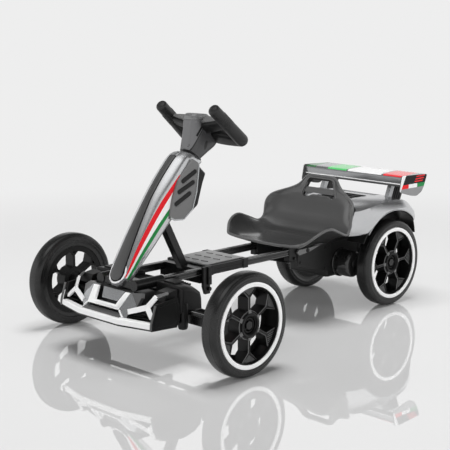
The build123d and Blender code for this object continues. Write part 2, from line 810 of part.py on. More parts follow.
rear_hub_in = rear_track / 2 + spoke_back - side_gap
rear_nut = rear_track / 2 + hub_front + side_gap
with BuildPart() as rear_axle:
    with BuildSketch(side_plane(-rear_hub_in)):
        with Locations((rear_y, axle_z)):
            Circle(shoulder_radius)
    extrude(amount=2 * rear_hub_in)
    with BuildSketch(side_plane(-rear_nut - nut_thickness)):
        with Locations((rear_y, axle_z)):
            Circle(axle_radius)
    extrude(amount=2 * (rear_nut + nut_thickness))
    for x in (-rear_nut - nut_thickness, rear_nut):
        with BuildSketch(side_plane(x)):
            with Locations((rear_y, axle_z)):
                RegularPolygon(nut_radius, 6)
        extrude(amount=nut_thickness)
write(rear_axle.part, "rear_axle")


# Tail body: a shell over the rear wheels, open below, standing on two ribs on the battery box
rib_x = 45.0
rib_length = 150.0
body_half = body_width / 2
arch_inner = rear_track / 2 - tyre_width / 2 - arch_gap
shoulder_z = body_high - 24
with BuildPart() as tail_body:
    with BuildSketch(side_plane(-body_half)):
        Polygon(
            (rear_y + body_front, body_low),
            (rear_y + body_front + 7, shoulder_z + 5),
            (rear_y + body_front + 52, body_high - 12),
            (rear_y, body_high),
            (rear_y + body_back - 77, body_high - 3),
            (rear_y + body_back - 45, body_high - 15),
            (rear_y + body_back - 12, shoulder_z - 10),
            (rear_y + body_back, body_low + 18),
            (rear_y + body_back - 8, body_low),
            align=None,
        )
    extrude(amount=body_width)
    with BuildSketch(cross_plane(rear_y + body_front)):
        half = [
            (body_half, body_low),
            (body_half, shoulder_z),
            (body_half - 14, body_high - 8),
            (body_half - 60, body_high),
        ]
        Polygon(*half, *[(-x, z) for x, z in reversed(half)], align=None)
    extrude(amount=body_front - body_back, mode=Mode.INTERSECT)
    with BuildSketch(Plane.XY.offset(body_low)):
        half = [
            (body_half, rear_y + body_front),
            (body_half, rear_y + body_back - 34),
            (body_half - 15, rear_y + body_back - 9),
            (body_half - 45, rear_y + body_back),
        ]
        Polygon(*half, *[(-x, y) for x, y in reversed(half)], align=None)
    extrude(amount=body_high - body_low, mode=Mode.INTERSECT)
    with BuildSketch(side_plane(arch_inner), side_plane(-body_half)):
        with Locations((rear_y, axle_z)):
            Circle(arch_radius)
    extrude(amount=body_half - arch_inner, mode=Mode.SUBTRACT)
    with BuildSketch(Plane.XY.offset(body_low)):
        with Locations((0, rear_y + (body_front + body_back) / 2 - 10)):
            Rectangle(2 * (arch_inner - body_wall), body_back - body_front - 40)
    extrude(amount=shoulder_z - 5 - body_low, mode=Mode.SUBTRACT)
    with BuildSketch(Plane.XY.offset(box_top)):
        with Locations((rib_x, rear_y - 40), (-rib_x, rear_y - 40)):
            Rectangle(body_wall + 2, rib_length)
    extrude(amount=shoulder_z - 3 - box_top)
    with BuildSketch(side_plane(-body_half + 19)):
        Polygon(
            (rear_y + body_front - 48, body_low - 17),
            (rear_y + body_front, body_low - 17),
            (rear_y + body_front + 54, shoulder_z + 5),
            (rear_y + body_front + 67, body_high + 5),
            (rear_y + body_front - 48, body_high + 5),
            align=None,
        )
    extrude(amount=2 * (body_half - 19), mode=Mode.SUBTRACT)
write(tail_body.part, "tail_body")

# Wing: blade, two struts and two end plates
blade_thickness = 5.0
strut_x = 107.0
strut_thickness = 13.0
strut_length = 40.0
strut_behind = 37.0
with BuildPart() as wing_blade:
    with BuildSketch(side_plane(-wing_span / 2 + end_plate)):
        Polygon(
            (rear_y + wing_front + 5, wing_height - 17),
            (rear_y + wing_front + 5, wing_height),
            (rear_y + wing_front + 25, wing_height + 6),
            (rear_y + tail_reach - 2, wing_height + 4),
            (rear_y + tail_reach - 2, wing_height + 4 - blade_thickness),
            (rear_y + wing_front + 30, wing_height + 6 - 2 * blade_thickness),
            align=None,
        )
    extrude(amount=wing_span - 2 * end_plate)
write(wing_blade.part, "wing_blade")

with BuildPart() as wing_end_plates:
    with BuildSketch(side_plane(wing_span / 2 - end_plate)):
        Polygon(
            (rear_y + wing_front, wing_height + 9),
            (rear_y + tail_reach, wing_height + 4),
            (rear_y + tail_reach - 22, wing_height - 38),
            (rear_y + tail_reach - 46, wing_height - 51),
            (rear_y + wing_front - 2, wing_height - 36),
            align=None,
        )
    extrude(amount=end_plate)
    mirror(about=Plane.YZ)
write(wing_end_plates.part, "wing_end_plates")

with BuildPart() as wing_struts:
    with BuildSketch(side_plane(strut_x)):
        Polygon(
            (rear_y + strut_behind, shoulder_z + 1),
            (rear_y + strut_behind + strut_length, shoulder_z + 1),
            (rear_y + strut_behind + strut_length + 5, wing_height),
            (rear_y + strut_behind + 5, wing_height),
            align=None,
        )
    extrude(amount=strut_thickness)
    mirror(about=Plane.YZ)
    add(tail_body.part, mode=Mode.SUBTRACT)
    add(wing_blade.part, mode=Mode.SUBTRACT)
write(wing_struts.part, "wing_struts")
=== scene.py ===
"""Looks of an electric ride-on go-kart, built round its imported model."""

from math import atan2, cos, hypot, pi, radians, sin

import bmesh
import bpy
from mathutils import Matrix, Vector
from mathutils.geometry import delaunay_2d_cdt


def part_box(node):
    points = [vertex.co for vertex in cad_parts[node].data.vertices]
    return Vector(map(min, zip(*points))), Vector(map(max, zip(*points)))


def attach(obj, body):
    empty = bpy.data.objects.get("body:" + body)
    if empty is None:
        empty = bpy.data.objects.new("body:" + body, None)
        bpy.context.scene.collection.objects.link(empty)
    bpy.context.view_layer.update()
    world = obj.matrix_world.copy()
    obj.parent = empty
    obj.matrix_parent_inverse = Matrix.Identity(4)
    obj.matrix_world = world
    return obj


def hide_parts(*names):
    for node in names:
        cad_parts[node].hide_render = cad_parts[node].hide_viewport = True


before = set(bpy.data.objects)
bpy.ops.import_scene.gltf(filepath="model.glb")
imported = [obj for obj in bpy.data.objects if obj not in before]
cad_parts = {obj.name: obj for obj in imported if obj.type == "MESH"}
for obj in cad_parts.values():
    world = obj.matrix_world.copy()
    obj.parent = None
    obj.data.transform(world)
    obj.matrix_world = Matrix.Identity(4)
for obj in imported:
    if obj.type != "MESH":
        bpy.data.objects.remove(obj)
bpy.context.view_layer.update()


# Studio: a pale glossy floor that runs out into a pale backdrop, with a wide soft lamp overhead and
# weaker ones at two sides. Glossy parts mirror a pale horizon, a dark band above it, and a bright
# patch high in front. None of it belongs to the kart.


def operator(operation, reflected=False):
    """A method that adds one Math node. A reflected one takes its values the other way round."""

    def method(self, other):
        values = (other, self) if reflected else (self, other)
        return self.maths(operation, *values)

    return method


class Signal:
    """An output of a material's node. Arithmetic on it adds the Math nodes that work it out."""

    def __init__(self, finish, socket):
        self.finish = finish
        self.socket = socket

    def maths(self, operation, *values):
        sockets = dict(enumerate(values))
        return self.finish.node("ShaderNodeMath", {"operation": operation}, sockets)

    __add__, __radd__ = operator("ADD"), operator("ADD", True)
    __sub__, __rsub__ = operator("SUBTRACT"), operator("SUBTRACT", True)
    __mul__, __rmul__ = operator("MULTIPLY"), operator("MULTIPLY", True)
    __gt__, __lt__ = operator("GREATER_THAN"), operator("LESS_THAN")
    at_least = operator("MAXIMUM")

    def size(self):
        return self.maths("ABSOLUTE", self)

    def root(self):
        return self.maths("SQRT", self)

    def within(self, low, high):
        return (self > low) * (self < high)

    def ramp(self, low, high, start=0.0, end=1.0):
        """Goes smoothly from start to end as the signal goes from low to high."""
        return self.finish.node(
            "ShaderNodeMapRange",
            {"interpolation_type": "SMOOTHSTEP"},
            {0: self, 1: low, 2: high, 3: start, 4: end},
        )


class Wiring:
    """A node tree. node() adds any node and gives its output as a signal."""

    def __init__(self, tree):
        self.tree = tree

    def feed(self, socket, value):
        if isinstance(value, Signal):
            self.tree.links.new(value.socket, socket)
        elif isinstance(value, tuple) and len(value) == 3 and len(socket.default_value) == 4:
            socket.default_value = (*value, 1.0)
        else:
            socket.default_value = value

    def node(self, kind, settings=None, sockets=None, output=0):
        made = self.tree.nodes.new(kind)
        for key, value in (settings or {}).items():
            if key == "stops":
                ramp = made.color_ramp.elements
                while len(ramp) < len(value):
                    ramp.new(1.0)
                for element, (place, level) in zip(ramp, value):
                    element.position = place
                    element.color = (level, level, level, 1.0)
            else:
                setattr(made, key, value)
        for key, value in (sockets or {}).items():
            self.feed(made.inputs[key], value)
        return Signal(self, made.outputs[output])

    def over(self, mask, below, above):
        """The colour below where the mask is 0, and the one above where it is 1."""
        return self.node("ShaderNodeMix", {"data_type": "RGBA"}, {0: mask, 6: below, 7: above}, 2)


class Finish(Wiring):
    """One material. paint() feeds its shader."""

    def __init__(self, name, constants):
        self.material = bpy.data.materials.new(name)
        self.material.use_nodes = True
        super().__init__(self.material.node_tree)
        self.shader = self.tree.nodes["Principled BSDF"]
        self.paint(constants)

    def paint(self, values):
        for key, value in values.items():
            self.feed(self.shader.inputs[key], value)

    def place(self, origin=(0, 0, 0)):
        """The point on the surface, as its three distances from an origin, in millimetres."""
        spot = self.node("ShaderNodeTexCoord", output="Object")
        ways = [self.node("ShaderNodeSeparateXYZ", None, {0: spot}, i) for i in range(3)]
        return [(way - start) * 1000 for way, start in zip(ways, origin)]

    def noise(self, scale, detail):
        spot = self.node("ShaderNodeTexCoord", output="Object")
        sockets = {"Vector": spot, "Scale": scale, "Detail": detail}
        return self.node("ShaderNodeTexNoise", None, sockets)

    def clouds(self, dark, light):
        """A colour that drifts a little over the piece."""
        return self.over(self.noise(7.0, 3.0).ramp(0.3, 0.7), dark, light)

    def lay_over(self, colour, *layers):
        """The colour with each (mask, colour) laid over it in turn: prints, and painted light and
        shade.
        """
        for mask, tone in layers:
            colour = self.over(mask, colour, tone)
        return colour


def grey(level, tint=0.0):
    """A neutral colour, a little bluer for a positive tint."""
    return (level * (1 - tint), level, level * (1 + tint))


backdrop_level = 0.855
ambient_level = 0.10
horizon_level = 1.8
mirror_share = 0.37
floor_reach = 60.0
blend_start, blend_end = 900, 2400

floor_finish = Finish("floor_paint", {"Base Color": grey(0.93), "Roughness": 0.6})
floor_finish.paint({"Specular IOR Level": 0.0})
across, along, up = floor_finish.place()
far = (across * across + along * along).root().ramp(blend_start, blend_end)
matt = Signal(floor_finish, floor_finish.shader.outputs[0])
sheet = floor_finish.node("ShaderNodeBsdfGlossy", None, {"Roughness": 0.0})
glow = floor_finish.node("ShaderNodeEmission", None, {0: grey(backdrop_level)})
polished = floor_finish.node("ShaderNodeMixShader", None, {0: mirror_share, 1: matt, 2: sheet})
blended = floor_finish.node("ShaderNodeMixShader", None, {0: far, 1: polished, 2: glow})
floor_finish.feed(floor_finish.tree.nodes["Material Output"].inputs[0], blended)

floor_mesh = bpy.data.meshes.new("floor")
floor_corners = [(-1, -1), (1, -1), (1, 1), (-1, 1)]
floor_points = [(x * floor_reach, y * floor_reach, 0.0) for x, y in floor_corners]
floor_mesh.from_pydata(floor_points, [], [(0, 1, 2, 3)])
floor_mesh.materials.append(floor_finish.material)
floor = bpy.data.objects.new("floor", floor_mesh)
bpy.context.scene.collection.objects.link(floor)

world = bpy.data.worlds.new("backdrop")
bpy.context.scene.world = world
world.use_nodes = True
sky = Wiring(world.node_tree)
seen, mirrored, passed = (
    sky.node("ShaderNodeLightPath", output=name)
    for name in ("Is Camera Ray", "Is Glossy Ray", "Is Transmission Ray")
)
heading = sky.node("ShaderNodeTexCoord", output="Generated")
ahead_way, steepness = (sky.node("ShaderNodeSeparateXYZ", None, {0: heading}, i) for i in (1, 2))
low_stops = [(0.0, 0.855), (0.39, 0.855), (0.45, 0.20)]
dim_side, bright_side = (
    sky.node("ShaderNodeValToRGB", {"stops": low_stops + high_stops}, {0: steepness})
    for high_stops in (
        [(0.60, 0.08), (0.86, 0.10), (1.0, 0.6)],
        [(0.58, 0.08), (0.66, 0.14), (0.78, 1.0), (0.86, 1.5)],
    )
)
reflected = sky.over(ahead_way.ramp(-0.05, -0.25), dim_side, bright_side)
lit = steepness.ramp(0.22, 0.42, horizon_level, ambient_level)
shown = sky.over(mirrored, lit, reflected)
shown = sky.over(seen.at_least(passed), shown, grey(backdrop_level))
sky.feed(sky.tree.nodes["Background"].inputs[0], shown)

for name, place, target, width, depth, power in (
    ("overhead", (0.0, 0.1, 4.0), (0.0, 0.0, 0.1), 2.0, 2.0, 120.0),
    ("front_right", (-1.6, -2.2, 1.3), (0.0, -0.2, 0.25), 1.0, 1.2, 6.0),
    ("left_rear", (2.4, 0.9, 1.2), (0.1, 0.1, 0.2), 0.6, 1.6, 8.0),
):
    lamp = bpy.data.lights.new(name, "AREA")
    lamp.shape = "RECTANGLE"
    lamp.size = width
    lamp.size_y = depth
    lamp.energy = power
    holder = bpy.data.objects.new(name, lamp)
    holder.location = place
    holder.rotation_euler = (Vector(target) - Vector(place)).to_track_quat("-Z", "Y").to_euler()
    holder.visible_camera = False
    holder.visible_glossy = False
    bpy.context.scene.collection.objects.link(holder)

camera_data = bpy.data.cameras.new("camera")
camera_data.lens = 90.416
camera_data.sensor_width = 36.0
camera = bpy.data.objects.new("camera", camera_data)
camera.location = (1.9199, -2.0157, 0.7657)
look = Vector((-0.6953, 0.6948, -0.1841))
camera.rotation_euler = look.to_track_quat("-Z", "Y").to_euler()
bpy.context.scene.collection.objects.link(camera)
bpy.context.scene.camera = camera
bpy.context.scene.view_settings.view_transform = "Standard"


# Wheels: a hollow rubber tyre on a black moulded rim with six forked spokes, and a white ring
# pressed on its outer face. The four are alike; the front ones steer and the rear ones drive.
mm = 0.001
left_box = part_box("front_left_tyre")
rear_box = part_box("rear_left_tyre")
front_y = (left_box[0].y + left_box[1].y) / 2
rear_y = (rear_box[0].y + rear_box[1].y) / 2
axle_z = (left_box[0].z + left_box[1].z) / 2
front_x = (left_box[0].x + left_box[1].x) / 2
rear_x = (rear_box[0].x + rear_box[1].x) / 2


def encloses(loop, point):
    """Whether a closed line of points goes round a point."""
    inside = False
    for (ax, ay), (bx, by) in zip(loop, loop[1:] + loop[:1]):
        if (ay > point[1]) != (by > point[1]):
            if point[0] < ax + (point[1] - ay) / (by - ay) * (bx - ax):
                inside = not inside
    return inside


def face_out(mesh, weld=0.0):
    """Turns every face outwards, and joins points closer than the weld."""
    solid = bmesh.new()
    solid.from_mesh(mesh)
    if weld:
        bmesh.ops.remove_doubles(solid, verts=solid.verts, dist=weld)
    bmesh.ops.recalc_face_normals(solid, faces=solid.faces)
    solid.to_mesh(mesh)
    solid.free()


def ease_edges(piece, width, degrees):
    edges = piece.modifiers.new("edges", "BEVEL")
    edges.width = width * mm
    edges.segments = 2
    edges.limit_method = "ANGLE"
    edges.angle_limit = radians(degrees)
    edges.harden_normals = True


class Moulding:
    """Points and faces of one piece while it is made. at() turns the (x, y, z) distances that its
    shapes are given by into a place on the kart, in metres."""

    def __init__(self, at=None):
        self.at = at
        self.points, self.faces, self.paints = [], [], []

    def add(self, points, faces, paint=0):
        first = len(self.points)
        self.points += [tuple(p) for p in points]
        self.faces += [[first + i for i in face] for face in faces]
        self.paints += [paint] * len(faces)

    def skin(self, rings, joined=False, paint=0):
        """Joins rings of points one after another, and caps the ends or joins last to first."""
        size, count = len(rings[0]), len(rings)
        faces = []
        for i in range(count if joined else count - 1):
            a, b = i * size, (i + 1) % count * size
            for k in range(size):
                n = (k + 1) % size
                faces.append([a + k, a + n, b + n, b + k])
        if not joined:
            faces.append(list(range(size))[::-1])
            faces.append([(count - 1) * size + k for k in range(size)])
        self.add([p for ring in rings for p in ring], faces, paint)

    def rows(self, rings, joined=False, paint=0):
        """The same for rings of (x, y, z) distances."""
        self.skin([[self.at(*point) for point in ring] for ring in rings], joined, paint)

    def prism(self, way, line, levels, paint=0):
        """One outline of pairs, repeated at each level along x, y or z."""
        order = {"x": (2, 0, 1), "y": (0, 2, 1), "z": (0, 1, 2)}[way]
        rings = [[[(*pair, level)[i] for i in order] for pair in line] for level in levels]
        self.rows(rings, paint=paint)

    def box(self, low, high):
        (x0, y0, z0), (x1, y1, z1) = low, high
        self.prism("z", [(x0, y0), (x1, y0), (x1, y1), (x0, y1)], (z0, z1))

    def turned(self, profile, centre, axis, steps=64, joined=False, paint=0):
        """A turned piece: (radius, distance along the axis) pairs in millimetres."""
        axis = Vector(axis).normalized()
        side = Vector((0, 0, 1)) if abs(axis.z) < 0.9 else Vector((0, 1, 0))
        side = (side - axis * side.dot(axis)).normalized()
        other = axis.cross(side)
        spokes = [2 * pi * k / steps for k in range(steps)]
        spokes = [side * cos(t) + other * sin(t) for t in spokes]
        rings = []
        for radius, along in profile:
            middle = Vector(centre) + axis * along * mm
            rings.append([middle + spoke * radius * mm for spoke in spokes])
        self.skin(rings, joined, paint)

    def rod(self, path, radii, steps=16, paint=0):
        """A round bar along a path, with a radius in millimetres at each point."""
        path = [self.at(*point) for point in path]
        if not isinstance(radii, (list, tuple)):
            radii = [radii] * len(path)
        side = None
        rings = []
        for i, point in enumerate(path):
            ahead = (path[min(i + 1, len(path) - 1)] - path[max(i - 1, 0)]).normalized()
            if side is None:
                side = Vector((1, 0, 0)) if abs(ahead.x) < 0.9 else Vector((0, 0, 1))
            side = (side - ahead * side.dot(ahead)).normalized()
            other = ahead.cross(side)
            turns = [2 * pi * k / steps for k in range(steps)]
            spokes = [side * cos(t) + other * sin(t) for t in turns]
            rings.append([point + spoke * radii[i] * mm for spoke in spokes])
        self.skin(rings, paint=paint)

    def plate_with_holes(self, outline, holes, thickness, edge, lit=0):
        """A flat plate with holes and bevelled edges. The walls of the first lit holes take the
        second finish."""
        full, eased = [], []
        for number, loop in enumerate([outline, *holes]):
            turn = sum(a[0] * b[1] - b[0] * a[1] for a, b in zip(loop, loop[1:] + loop[:1]))
            if (turn > 0) != (number == 0):
                loop = loop[::-1]
            full.append(loop)
            moved = []
            for i, point in enumerate(loop):
                before = (Vector(point) - Vector(loop[i - 1])).normalized()
                after = (Vector(loop[(i + 1) % len(loop)]) - Vector(point)).normalized()
                way = Vector((-before.y - after.y, before.x + after.x)).normalized()
                reach = edge / max(0.4, way.dot(Vector((-after.y, after.x))))
                moved.append((point[0] + way.x * reach, point[1] + way.y * reach))
            eased.append(moved)
        flat, links = [], []
        for loop in eased:
            first = len(flat)
            flat += [Vector(point) for point in loop]
            links += [(first + i, first + (i + 1) % len(loop)) for i in range(len(loop))]
        points, _, triangles, *_ = delaunay_2d_cdt(flat, links, [], 0, 1e-6)
        faces = []
        for face in triangles:
            middle = sum((points[i] for i in face), Vector((0, 0))) / len(face)
            if sum(encloses(loop, middle) for loop in eased) == 1:
                faces.append(face)
        half = thickness / 2
        for height in (-half, half):
            self.add([self.at(x, y, height) for x, y in points], faces)
        for number, (loop, small) in enumerate(zip(full, eased)):
            size = len(loop)
            levels = ((small, -half), (loop, edge - half), (loop, half - edge), (small, half))
            walls = [self.at(x, y, height) for line, height in levels for x, y in line]
            quads = []
            for low in (0, size, 2 * size):
                for i in range(size):
                    n = (i + 1) % size
                    quads.append([low + i, low + n, low + size + n, low + size + i])
            self.add(walls, quads)
            if 0 < number <= lit:
                self.paints[-size:] = [1] * size

    def mirrored(self):
        """Adds the same again on the other side of the kart."""
        paints = self.paints[:]
        self.add([(-x, y, z) for x, y, z in self.points], [face[::-1] for face in self.faces])
        self.paints[len(paints) :] = paints

    def make(self, name, finishes, body, slot, stands_for=(), bevel=0.0, sharp=35.0):
        mesh = bpy.data.meshes.new(name)
        mesh.from_pydata(self.points, [], self.faces)
        for finish in finishes:
            mesh.materials.append(finish.material)
        mesh.polygons.foreach_set("material_index", self.paints)
        face_out(mesh, weld=2e-6)
        mesh.polygons.foreach_set("use_smooth", [True] * len(mesh.polygons))
        piece = bpy.data.objects.new(name, mesh)
        bpy.context.scene.collection.objects.link(piece)
        if bevel:
            ease_edges(piece, bevel, sharp)
        else:
            mesh.set_sharp_from_angle(angle=radians(sharp))
        if stands_for:
            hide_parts(*stands_for)
        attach(piece, body)
        return piece


def moulded(name, colour, roughness, grain=0.12, metallic=0.0, coat=0.0, mottle=0.12, gleam=0.5):
    """A moulded or painted finish: fine grain, and gloss and colour that vary a little."""
    finish = Finish(name, {"Metallic": metallic, "Coat Weight": coat, "Coat Roughness": 0.06})
    cloud = finish.noise(9.0, 4.0)
    fine = finish.noise(1500.0, 2.0)
    dark = tuple(c * (1 - mottle) for c in colour)
    light = tuple(min(1.0, c * (1 + mottle)) for c in colour)
    uneven = (cloud - 0.5) * (roughness * 0.25) + (fine - 0.5) * (roughness * 0.2)
    bump = {"Height": fine, "Strength": grain, "Distance": 0.0003}
    finish.paint(
        {
            "Specular IOR Level": gleam,
            "Base Color": finish.over(cloud.ramp(0.3, 0.7), dark, light),
            "Roughness": roughness + uneven,
            "Normal": finish.node("ShaderNodeBump", None, bump),
        }
    )
    return finish


rubber = moulded("tyre_rubber", grey(0.010), 0.27, mottle=0.2)
rim_black = moulded("rim_plastic", grey(0.006), 0.34, grain=0.15, gleam=0.25)
# The lighter grey below goes on the rim's pocket walls, web ribs and spoke feet: painted highlight
# on the casting's edges.
rim_edge_highlight = moulded("rim_edge_highlight", grey(0.13), 0.30, grain=0.05)
ring_white = moulded("ring_white", grey(0.96), 0.30, grain=0.03, mottle=0.01)

# radius, and distance out from the wheel's middle
sidewall = [
    (84.0, 19.6), (92.0, 19.9), (94.9, 20.4), (95.6, 21.5), (97.5, 21.95), (101.2, 21.8),
    (102.2, 21.1), (102.9, 21.0), (103.6, 21.4), (107.2, 20.4), (108.0, 19.5), (108.8, 19.2),
    (110.6, 18.4), (112.4, 16.6), (113.6, 14.2), (114.2, 12.2), (114.5, 10.4), (114.1, 10.0),
    (114.1, 9.4), (114.7, 9.0), (114.95, 5.0), (115.0, 0.0),
]
tyre_profile = sidewall + [(r, -out) for r, out in reversed(sidewall[:-1])]
barrel_half = [(82.0, 12.0), (82.6, 18.9), (83.4, 20.2), (84.6, 20.2), (84.4, 19.0), (84.0, 12.0)]
barrel_profile = barrel_half + [(r, -out) for r, out in reversed(barrel_half)]
ring_profile = [
    (84.9, 19.9), (84.9, 21.9), (85.5, 22.6), (89.6, 22.7), (93.8, 22.6), (94.4, 21.9), (94.4, 19.9)
]
hub_profile = [
    (6.05, -16.0), (18.9, -16.0), (19.2, 6.2), (17.2, 8.0), (16.2, 11.6), (13.6, 12.0),
    (12.8, 11.0), (12.6, 6.2), (6.05, 6.2),
]
hub_bead = [(20.6, 13.6), (21.4, 16.4), (23.8, 17.4), (26.6, 16.6), (27.6, 13.6)]
inner_flange = [(70.0, -15.5), (70.0, -19.0), (82.0, -19.0), (82.0, -15.5)]
spoke_foot = [(27.0, 5.0, 3.0), (34.0, 3.2, 1.2), (34.0, -3.2, 1.2), (27.0, -5.0, 3.0)]

face_radius, face_thick, face_edge, face_inset = 83.0, 33.2, 1.3, 2.6
hub_hole = 19.0
spoke_count = 6
spoke_half = 3.5
hub_reach, fork_reach, rim_reach = 32.0, 60.0, 82.4
pocket_half = 14.0
web_apex, web_half = 65.5, 13.4
web_back, web_front, rib_front = 7.6, 10.6, 12.8
rib_pitch, rib_half = 3.8, 0.8


def polar(radius, degrees):
    return (radius * cos(radians(degrees)), radius * sin(radians(degrees)))


def circle(radius, steps):
    return [polar(radius, 360 * k / steps) for k in range(steps)]


def spoke_pocket(middle):
    """Six-sided opening between two spokes, round a given angle."""
    gap = 180 / spoke_count
    hub_turn = gap - spoke_half / hub_reach / pi * 180
    fork_turn = gap - spoke_half / fork_reach / pi * 180
    loop = [polar(hub_reach, middle - hub_turn + t * hub_turn / 2) for t in range(5)]
    loop.append(polar(fork_reach, middle + fork_turn))
    loop += [polar(rim_reach, middle + pocket_half - t * pocket_half / 4) for t in range(9)]
    loop.append(polar(fork_reach, middle - fork_turn))
    return loop


def spoke_web(middle):
    """Three-sided opening inside a spoke's fork."""
    arc = [polar(rim_reach, middle + web_half - t * web_half / 4) for t in range(9)]
    return [polar(web_apex, middle), *arc[::-1]]


def make_wheel(place, x, y, side, phase):
    body = f"{place}_wheel"
    centre = Vector((x, y, axle_z))
    out = Vector((side, 0, 0))

    tyre = Moulding()
    tyre.turned(tyre_profile, centre, out, steps=144, joined=True)
    tyre.make(f"{place}_tyre_skin", [rubber], body, "tyre_rubber", [f"{place}_tyre"], sharp=50)

    def on_face(a, b, c):
        return centre + Vector((side * (c - face_inset), a, side * b)) * mm

    rim = Moulding(on_face)
    middles = [phase + 60 * k for k in range(spoke_count)]
    holes = [spoke_pocket(m + 30) for m in middles] + [spoke_web(m) for m in middles]
    holes.append(circle(hub_hole, 48))
    outline = circle(face_radius, 120)
    # The pocket walls, and further on the ribs and spoke feet, take the second, lighter finish:
    # painted highlight.
    rim.plate_with_holes(outline, holes, face_thick, face_edge, lit=spoke_count)
    rim.turned(barrel_profile, centre, out, steps=120, joined=True)
    rim.turned(inner_flange, centre, out, 96, True)
    for m in middles:
        aim = Vector((0, cos(radians(m)), side * sin(radians(m))))
        cross = Vector((0, -sin(radians(m)), side * cos(radians(m))))

        def on_spoke(a, b, lift):
            return centre + out * lift * mm + aim * a * mm + cross * b * mm

        rim.at = on_spoke
        web_floor = [(web_apex - 1.5, 0), (rim_reach + 1, 19.5), (rim_reach + 1, -19.5)]
        rim.prism("z", web_floor, (web_back, web_front))
        for k in range(-5, 5):
            b = (k + 0.5) * rib_pitch
            near, far = web_apex + abs(b) * 0.62, rim_reach + 0.5
            low, high = b - rib_half, b + rib_half
            rib = [(near, low), (far, low), (far, high), (near, high)]
            rim.prism("z", rib, (web_back, rib_front), paint=1)
        rings = [[(a, b, 13.0 + up * lift) for a, b, lift in spoke_foot] for up in (0, 1)]
        rim.rows(rings, paint=1)
    rim.turned(hub_profile, centre, out, 64, True)
    rim.turned(hub_bead, centre, out, 64, True)
    rim.make(f"{place}_rim_casting", [rim_black, rim_edge_highlight], body, "black_plastic", [f"{place}_rim"],
             sharp=28)

    ring = Moulding()
    ring.turned(ring_profile, centre, out, steps=144, joined=True)
    ring.make(f"{place}_white_ring", [ring_white], body, "white_trim", [f"{place}_ring"], sharp=50)


make_wheel("front_left", front_x, front_y, 1, 30.0)
make_wheel("front_right", -front_x, front_y, -1, 30.0)
make_wheel("rear_left", rear_x, rear_y, 1, 3.0)
make_wheel("rear_right", -rear_x, rear_y, -1, 3.0)


# Front axle, knuckles and steering linkage: painted steel parts, with the knuckles on kingpins
# through the axle's ends. They keep their solids' shape, with eased edges.
frame_black = moulded("frame_paint", grey(0.008), 0.28, grain=0.08, gleam=0.4)


def keep_shape(finish, width, *nodes):
    for node in nodes:
        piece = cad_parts[node]
        piece.data.materials.clear()
        piece.data.materials.append(finish.material)
        ease_edges(piece, width, 40)


keep_shape(frame_black, 1.2, "front_axle_beam", "steering_relay_arm", "tie_rod")
keep_shape(frame_black, 0.8, "left_knuckle", "right_knuckle")


# Rails: two grooved steel tubes, painted black, in round sockets at the front; the cross member
# under them and the brace up to the column are of the same steel.
keep_shape(frame_black, 1.0, "rail_sockets", "cross_member", "brace_strut")
rail_paint = moulded("rail_paint", grey(0.008), 0.26, grain=0.06, gleam=0.6)
across, along, up = rail_paint.place()
# Light grey along the rails' top edges and along one groove lip on their outer sides: painted
# highlight.
painted_groove_highlights = (up > 179.6).at_least(up.within(166.5, 171.5) * 0.4) * (across.size() > 65.5)
rail_paint.paint({"Base Color": rail_paint.over(painted_groove_highlights, grey(0.008), grey(0.17))})
keep_shape(rail_paint, 1.0, "frame_rails")


# Front housing: a black moulded body over the axle, open in the middle where the rails run in,
# with a barrel-shaped block at each end and a round post under each corner.
plain_black = moulded("black_plastic", grey(0.009), 0.38, grain=0.2, gleam=0.3)


def from_front(x, y, z):
    """A point given in millimetres, with y measured back from the front axle."""
    return Vector((x * mm, front_y + y * mm, z * mm))


housing = Moulding(from_front)
barrel_line = [
    (-44, 178), (-24, 177), (2, 171), (22, 157), (27, 140), (27, 112), (-50, 112), (-50, 150)
]
middle_y, middle_z = -12.0, 143.0
rings = []
for x, shrink in ((72, 3), (80, 0.5), (112, 0), (138, 1.5), (147, 5), (152, 12)):
    ring = []
    for y, z in barrel_line:
        keep = 1 - shrink / hypot(y - middle_y, z - middle_z)
        ring.append((x, middle_y + (y - middle_y) * keep, middle_z + (z - middle_z) * keep))
    rings.append(ring)
housing.rows(rings)
housing.box((86, -36, 176), (124, -8, 181))
housing.rod([(143, -30.5, z) for z in (78, 84, 138)], [9.5, 11.5, 11.5], 32)
for k in range(4):
    housing.box((96 + k * 8, -6, 166), (99 + k * 8, 14, 172.5 - 0.2 * k))
housing.mirrored()
housing.box((-73, -42, 118), (73, 24, 158))
housing.box((-44, -20, 158), (44, 25, 164))
for side in (-1, 1):
    housing.box((side * 70 - 3, -42, 158), (side * 70 + 3, 25, 176))
    housing.box((side * 47 - 2, -16, 158), (side * 47 + 2, 25, 170))
housing.make("front_housing_cover", [plain_black], "front_frame", "black_plastic",
             ["front_housing"], bevel=1.6)


# Bumper: a black moulded tray with side plates and silver facets, and the white frames and lip
# that snap on its front.
silver = moulded("silver_gloss", grey(0.46, 0.02), 0.24, grain=0.01, metallic=0.75, coat=0.3,
                 mottle=0.02)
dark_satin = moulded("dark_grey_satin", grey(0.10), 0.36, grain=0.15, coat=0.2)
white_gloss = moulded("white_gloss", grey(0.96), 0.20, grain=0.01, coat=0.2, mottle=0.005)


def both_sides(line):
    """A half outline with its mirror image after it, for lines of (across, other) pairs."""
    return line + [(-x, other) for x, other in reversed(line)]


def panel(moulding, corners, thickness):
    """A flat panel through its corners, made solid backwards from its face."""
    corners = [moulding.at(*point) for point in corners]
    a, b, c = corners[:3]
    back = (b - a).cross(c - a).normalized()
    if back.y < 0:
        back = -back
    moulding.skin([corners, [c + back * thickness * mm for c in corners]])


